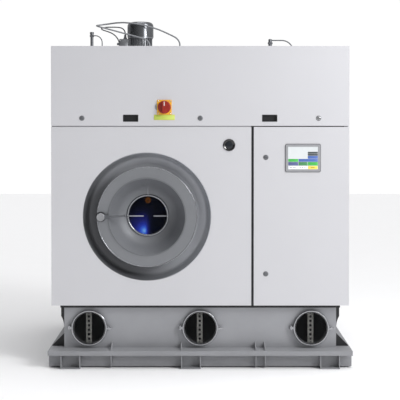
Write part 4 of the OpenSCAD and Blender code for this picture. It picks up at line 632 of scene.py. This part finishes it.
label_mat = material("label plate", rgb(190, 206, 92), rough=0.4, mottle=0.03, mottle_scale=30, bump=0.05)
white_mark = material("white mark", rgb(225, 225, 220), rough=0.5, mottle=0.03, mottle_scale=60, bump=0.05)
bm = bmesh.new()
plate(bm, (SWITCH_X - LABEL_W, FRONT - 0.0014, SWITCH_Z - LABEL_FOOT),
      (SWITCH_X + LABEL_W, FRONT - 0.0019, SWITCH_Z - LABEL_TOP))
finish_mesh(bm, "blank_label", label_mat, "upper_flap")
turned("switch_shroud", [(SWITCH_X - 0.031, FRONT, SWITCH_Z + 0.002)],
       [(0, 0), (0.026, 0), (0.026, 0.0012), (0.024, 0.0022), (0, 0.0022)], 32, box_plastic, "upper_flap")
screws("switch_screws", [(SWITCH_X + a * 0.036, FRONT - 0.003, SWITCH_Z + b * 0.036)
                         for a in (-1, 1) for b in (-1, 1)],
       FORWARD, "upper_flap", r=0.0026, h=0.0012)
bm = bmesh.new()
plate(bm, (SWITCH_X - 0.0022, FRONT - 0.0333, SWITCH_Z + 0.008),
      (SWITCH_X + 0.0022, FRONT - 0.0338, SWITCH_Z + 0.033), corner=0.001, edge=0.0002)
finish_mesh(bm, "switch_mark", white_mark, "switch_knob")

# ---------------------------------------------------------------- grips, locks, sight port and seam

bm = bmesh.new()
for x in (-GRIP_X, GRIP_X):
    strip_ring(bm, (x - GRIP_W, x + GRIP_W, GRIP_Z - GRIP_H, GRIP_Z + GRIP_H), FRONT, FRONT - 0.0012,
               width=0.0024, corner=0.003)
finish_mesh(bm, "grip_rims", grip_plastic, "upper_flap")
for name, locks, body in (("flap_lock_washers", FLAP_LOCKS, "upper_flap"),
                          ("door_lock_washers", DOOR_LOCKS, "control_door")):
    turned(name, [(x, FRONT, z) for x, z in locks],
           [(0.0126, 0), (0.0158, 0), (0.0156, 0.0007), (0.0126, 0.0011), (0.0126, 0)], 32, dull_steel, body)
sight_glass = material("sight glass", rgb(30, 34, 40), rough=0.08, mottle=0.1, mottle_scale=20, bump=0.01,
                       spec=0.5)
turned("sight_lens", [(SIGHT_X, FRONT, SIGHT_Z)],
       [(0, 0.0018), (0.0225, 0.0018), (0.0225, 0.0026), (0.0205, 0.0034), (0.012, 0.0040), (0, 0.0042)], 40,
       sight_glass, "machine")
screws("sight_screws", [(SIGHT_X + 0.0295 * math.cos(a), FRONT - 0.0018, SIGHT_Z + 0.0295 * math.sin(a))
                        for a in (0.6, 2.17, 3.74, 5.31)],
       FORWARD, "machine", r=0.0022, h=0.001)
# Light grey seal in the seam under the flap
bm = bmesh.new()
plate(bm, (SEAM_LEFT, FRONT + 0.012, 1.4474), (SEAM_RIGHT, FRONT + 0.0035, 1.4526), corner=0.001,
      edge=0.0005)
seal_mat = material("seam seal", rgb(150, 150, 154), rough=0.6, mottle=0.05, mottle_scale=12, bump=0.15)
finish_mesh(bm, "seam_seal", seal_mat, "machine")

# ---------------------------------------------------------------- loading door

# Two light lines across the glass
bm = bmesh.new()
for x0, x1 in ((-0.4375, -0.3445), (-0.2845, -0.2005)):
    plate(bm, (x0, -0.5519, 0.9010), (x1, -0.5523, 0.9056), edge=0.0002)
pale = material("etched line", rgb(196, 198, 204), rough=0.6, mottle=0.05, mottle_scale=60, bump=0.2)
finish_mesh(bm, "glass_lines", pale, "loading_door")

# The dish's front as (radius, y): a cone from the rim, then an arc about ARC down to the ring round the glass
RIM, CONE_END, CONE_STEPS = (0.229, -0.663), (0.1851, -0.60147), 4
ARC, ARC_R, ARC_STEPS = (0.088, -0.672), 0.120, 10
SEAM_HALF, SEAM_LIFT, SEAM_END = 0.0045, 0.0012, 0.002


def dish_point(i):
    if i <= CONE_STEPS:
        t = i / CONE_STEPS
        return RIM[0] + (CONE_END[0] - RIM[0]) * t, RIM[1] + (CONE_END[1] - RIM[1]) * t
    a = math.radians(36 + 36 * (i - CONE_STEPS) / ARC_STEPS)
    return ARC[0] + ARC_R * math.cos(a), ARC[1] + ARC_R * math.sin(a)


# Raised seam down the dish, straight above its middle
bm = bmesh.new()
rows = []
last = CONE_STEPS + ARC_STEPS
for i in range(last + 1):
    r, y = dish_point(i)
    r1, y1 = dish_point(max(i - 1, 0))
    r2, y2 = dish_point(min(i + 1, last))
    down = Vector((r2 - r1, y2 - y1)).normalized()
    # The seam stops just inside both ends of the dish
    inward = {0: SEAM_END, last: -SEAM_END}.get(i, 0.0)
    r, y = r + down.x * inward, y + down.y * inward
    row = []
    for off, lift in ((-SEAM_HALF, 0.0), (-SEAM_HALF / 2, SEAM_LIFT),
                      (SEAM_HALF / 2, SEAM_LIFT), (SEAM_HALF, 0.0)):
        reach = r - down.y * lift
        row.append(bm.verts.new((DRUM_X + off, y + down.x * lift,
                                 DRUM_Z + math.sqrt(max(reach * reach - off * off, 0)))))
    rows.append(row)
for a, b in zip(rows, rows[1:]):
    for k in range(3):
        bm.faces.new((a[k], a[k + 1], b[k + 1], b[k]))
finish_mesh(bm, "dish_seam", spun_door, "loading_door")

# Polished beads in front of the glass and along both edges of the flange
bm = bmesh.new()
for radius, y, half in ((0.1220, -0.5585, 0.0072), (0.2985, -0.6588, 0.0028), (0.2300, -0.6592, 0.0022)):
    lathe(bm, (DRUM_X, y, DRUM_Z), FORWARD, [(radius + half * math.cos(a), half * math.sin(a))
                                             for a in (math.radians(20 * k) for k in range(19))], 160)
finish_mesh(bm, "door_beads", bead_steel, "loading_door", smooth=80)

# Clamp screws of the ring behind the glass
screws("glass_clamp_screws", [(DRUM_X + CLAMP_R * math.cos(a), CLAMP_Y, DRUM_Z + CLAMP_R * math.sin(a))
                              for a in (math.radians(15 + 30 * k) for k in range(12))],
       BACKWARD, "loading_door", r=0.003, h=0.0016, hexed=True)
# Dark rubber washer under the latch hub; its dark ring also paints the shade in the gap round the hub.
turned("latch_washer_and_shade", [(LATCH_X, -0.6598, LATCH_Z)],
       [(0.0252, 0), (0.0300, 0), (0.0298, 0.0007), (0.0290, 0.0011), (0.0252, 0.0011), (0.0252, 0)], 48,
       rubber, "loading_door")
cap_steel = material("latch cap steel", rgb(150, 151, 154), metallic=0.35, rough=0.4, mottle=0.03,
                     mottle_scale=30, spun=(LATCH_X, LATCH_Z), bump=0.06, bump_scale=900)
turned("latch_cap", [(LATCH_X, -0.6883, LATCH_Z)],
       [(0, 0.0), (0.0234, 0.0), (0.0232, 0.0009), (0.0220, 0.0014), (0.0206, 0.0010), (0, 0.0012)], 48,
       cap_steel, "latch_lever")
bm = bmesh.new()
for s in (-1, 1):
    lathe(bm, (HINGE_X, HINGE_Y, HINGE_Z + s * 0.074), (0, 0, s),
          [(0.0075, 0), (0.0085, 0.0005), (0.0085, 0.0035), (0.006, 0.0048), (0, 0.0048)], 28)
finish_mesh(bm, "hinge_pin_caps", bright, "machine")
screws("hinge_plate_screws", [(-0.045, -0.5699, HINGE_Z + s * 0.0755) for s in (-1, 1)], FORWARD, "machine",
       r=0.004, h=0.002, hexed=True)

# ---------------------------------------------------------------- tank ports

for side, x in PORTS:
    turned("port_gasket_" + side, [(x, -0.6215, PORT_Z)],
           [(0.0955, -0.002), (0.0955, 0.0002), (0.0975, 0.0006), (0.0995, 0.0002), (0.0995, -0.0005)], 96,
           rubber, "port_cover_" + side)
    screws("gauge_rivets_" + side, [(x - 0.003, -0.6012, PORT_Z + s * 0.0845) for s in (-1, 1)], FORWARD,
           "machine", r=0.0026, h=0.0012)
    # Small marks beside the level strip's holes, every second one longer
    bm = bmesh.new()
    mark_x = x - 0.0195
    for k in range(11):
        z = PORT_Z + (k - 5) * 0.0135
        length = 0.006 if k % 2 else 0.0035
        plate(bm, (mark_x, -0.6010, z - 0.0005), (mark_x + length, -0.6013, z + 0.0005), corner=0.0003,
              edge=0.0001, segs=2)
    finish_mesh(bm, "gauge_marks_" + side, black_paint, "machine")

# ---------------------------------------------------------------- roof motor

bm = bmesh.new()
plate(bm, (-0.5235, -0.1352, 1.9590), (-0.4690, -0.1372, 2.0130), corner=0.004)
finish_mesh(bm, "terminal_lid", motor_paint, "machine")
screws("terminal_lid_screws", [(x, -0.1372, z) for x in (-0.5185, -0.4740) for z in (1.9640, 2.0080)],
       FORWARD, "machine", r=0.0026, h=0.0014)
bm = bmesh.new()
for k in range(4):
    a = math.radians(-60 + 90 * k)
    outward = Vector((math.cos(a), math.sin(a), 0))
    screw_head(bm, Vector((MOTOR_X, MOTOR_Y, COWL_Z)) + outward * COWL_R, outward, r=0.0032, h=0.0018)
finish_mesh(bm, "cowl_screws", bright, "machine")
bm = bmesh.new()
for k in range(6):
    a = math.radians(30 + 60 * k)
    screw_head(bm, (MOTOR_X + FOOT_R * math.cos(a), MOTOR_Y + FOOT_R * math.sin(a), FOOT_Z), UPWARD,
               r=0.0035, h=0.0022, hexed=True)
finish_mesh(bm, "motor_foot_bolts", zinc, "machine")

# ---------------------------------------------------------------- screws of the roof, the sides and the back

roof_screws = [(-0.86 + 0.215 * k, 0.600, ROOF) for k in range(9)]
roof_screws += [(x, y, ROOF) for y in (-0.45, -0.15, 0.15, 0.45) for x in (-0.878, 0.878)]
back_screws = [(-0.87 + 0.29 * k, BACK, z) for k in range(7) for z in (LOW, HIGH)]
back_screws += [(x, BACK, z) for z in (0.75, MIDDLE, 1.55) for x in (-0.87, 0.0, 0.87)]
panel_screws = [(p, UPWARD) for p in roof_screws]
panel_screws += [((s * SIDE, y, z), (s, 0, 0)) for s in (-1, 1) for y in (-0.56, -0.19, 0.19, 0.56)
                 for z in (LOW, MIDDLE, HIGH)]
panel_screws += [(p, BACKWARD) for p in back_screws]
bm = bmesh.new()
for place, axis in panel_screws:
    screw_head(bm, place, axis, r=0.0045, h=0.002)
finish_mesh(bm, "panel_screws", bright, "machine")
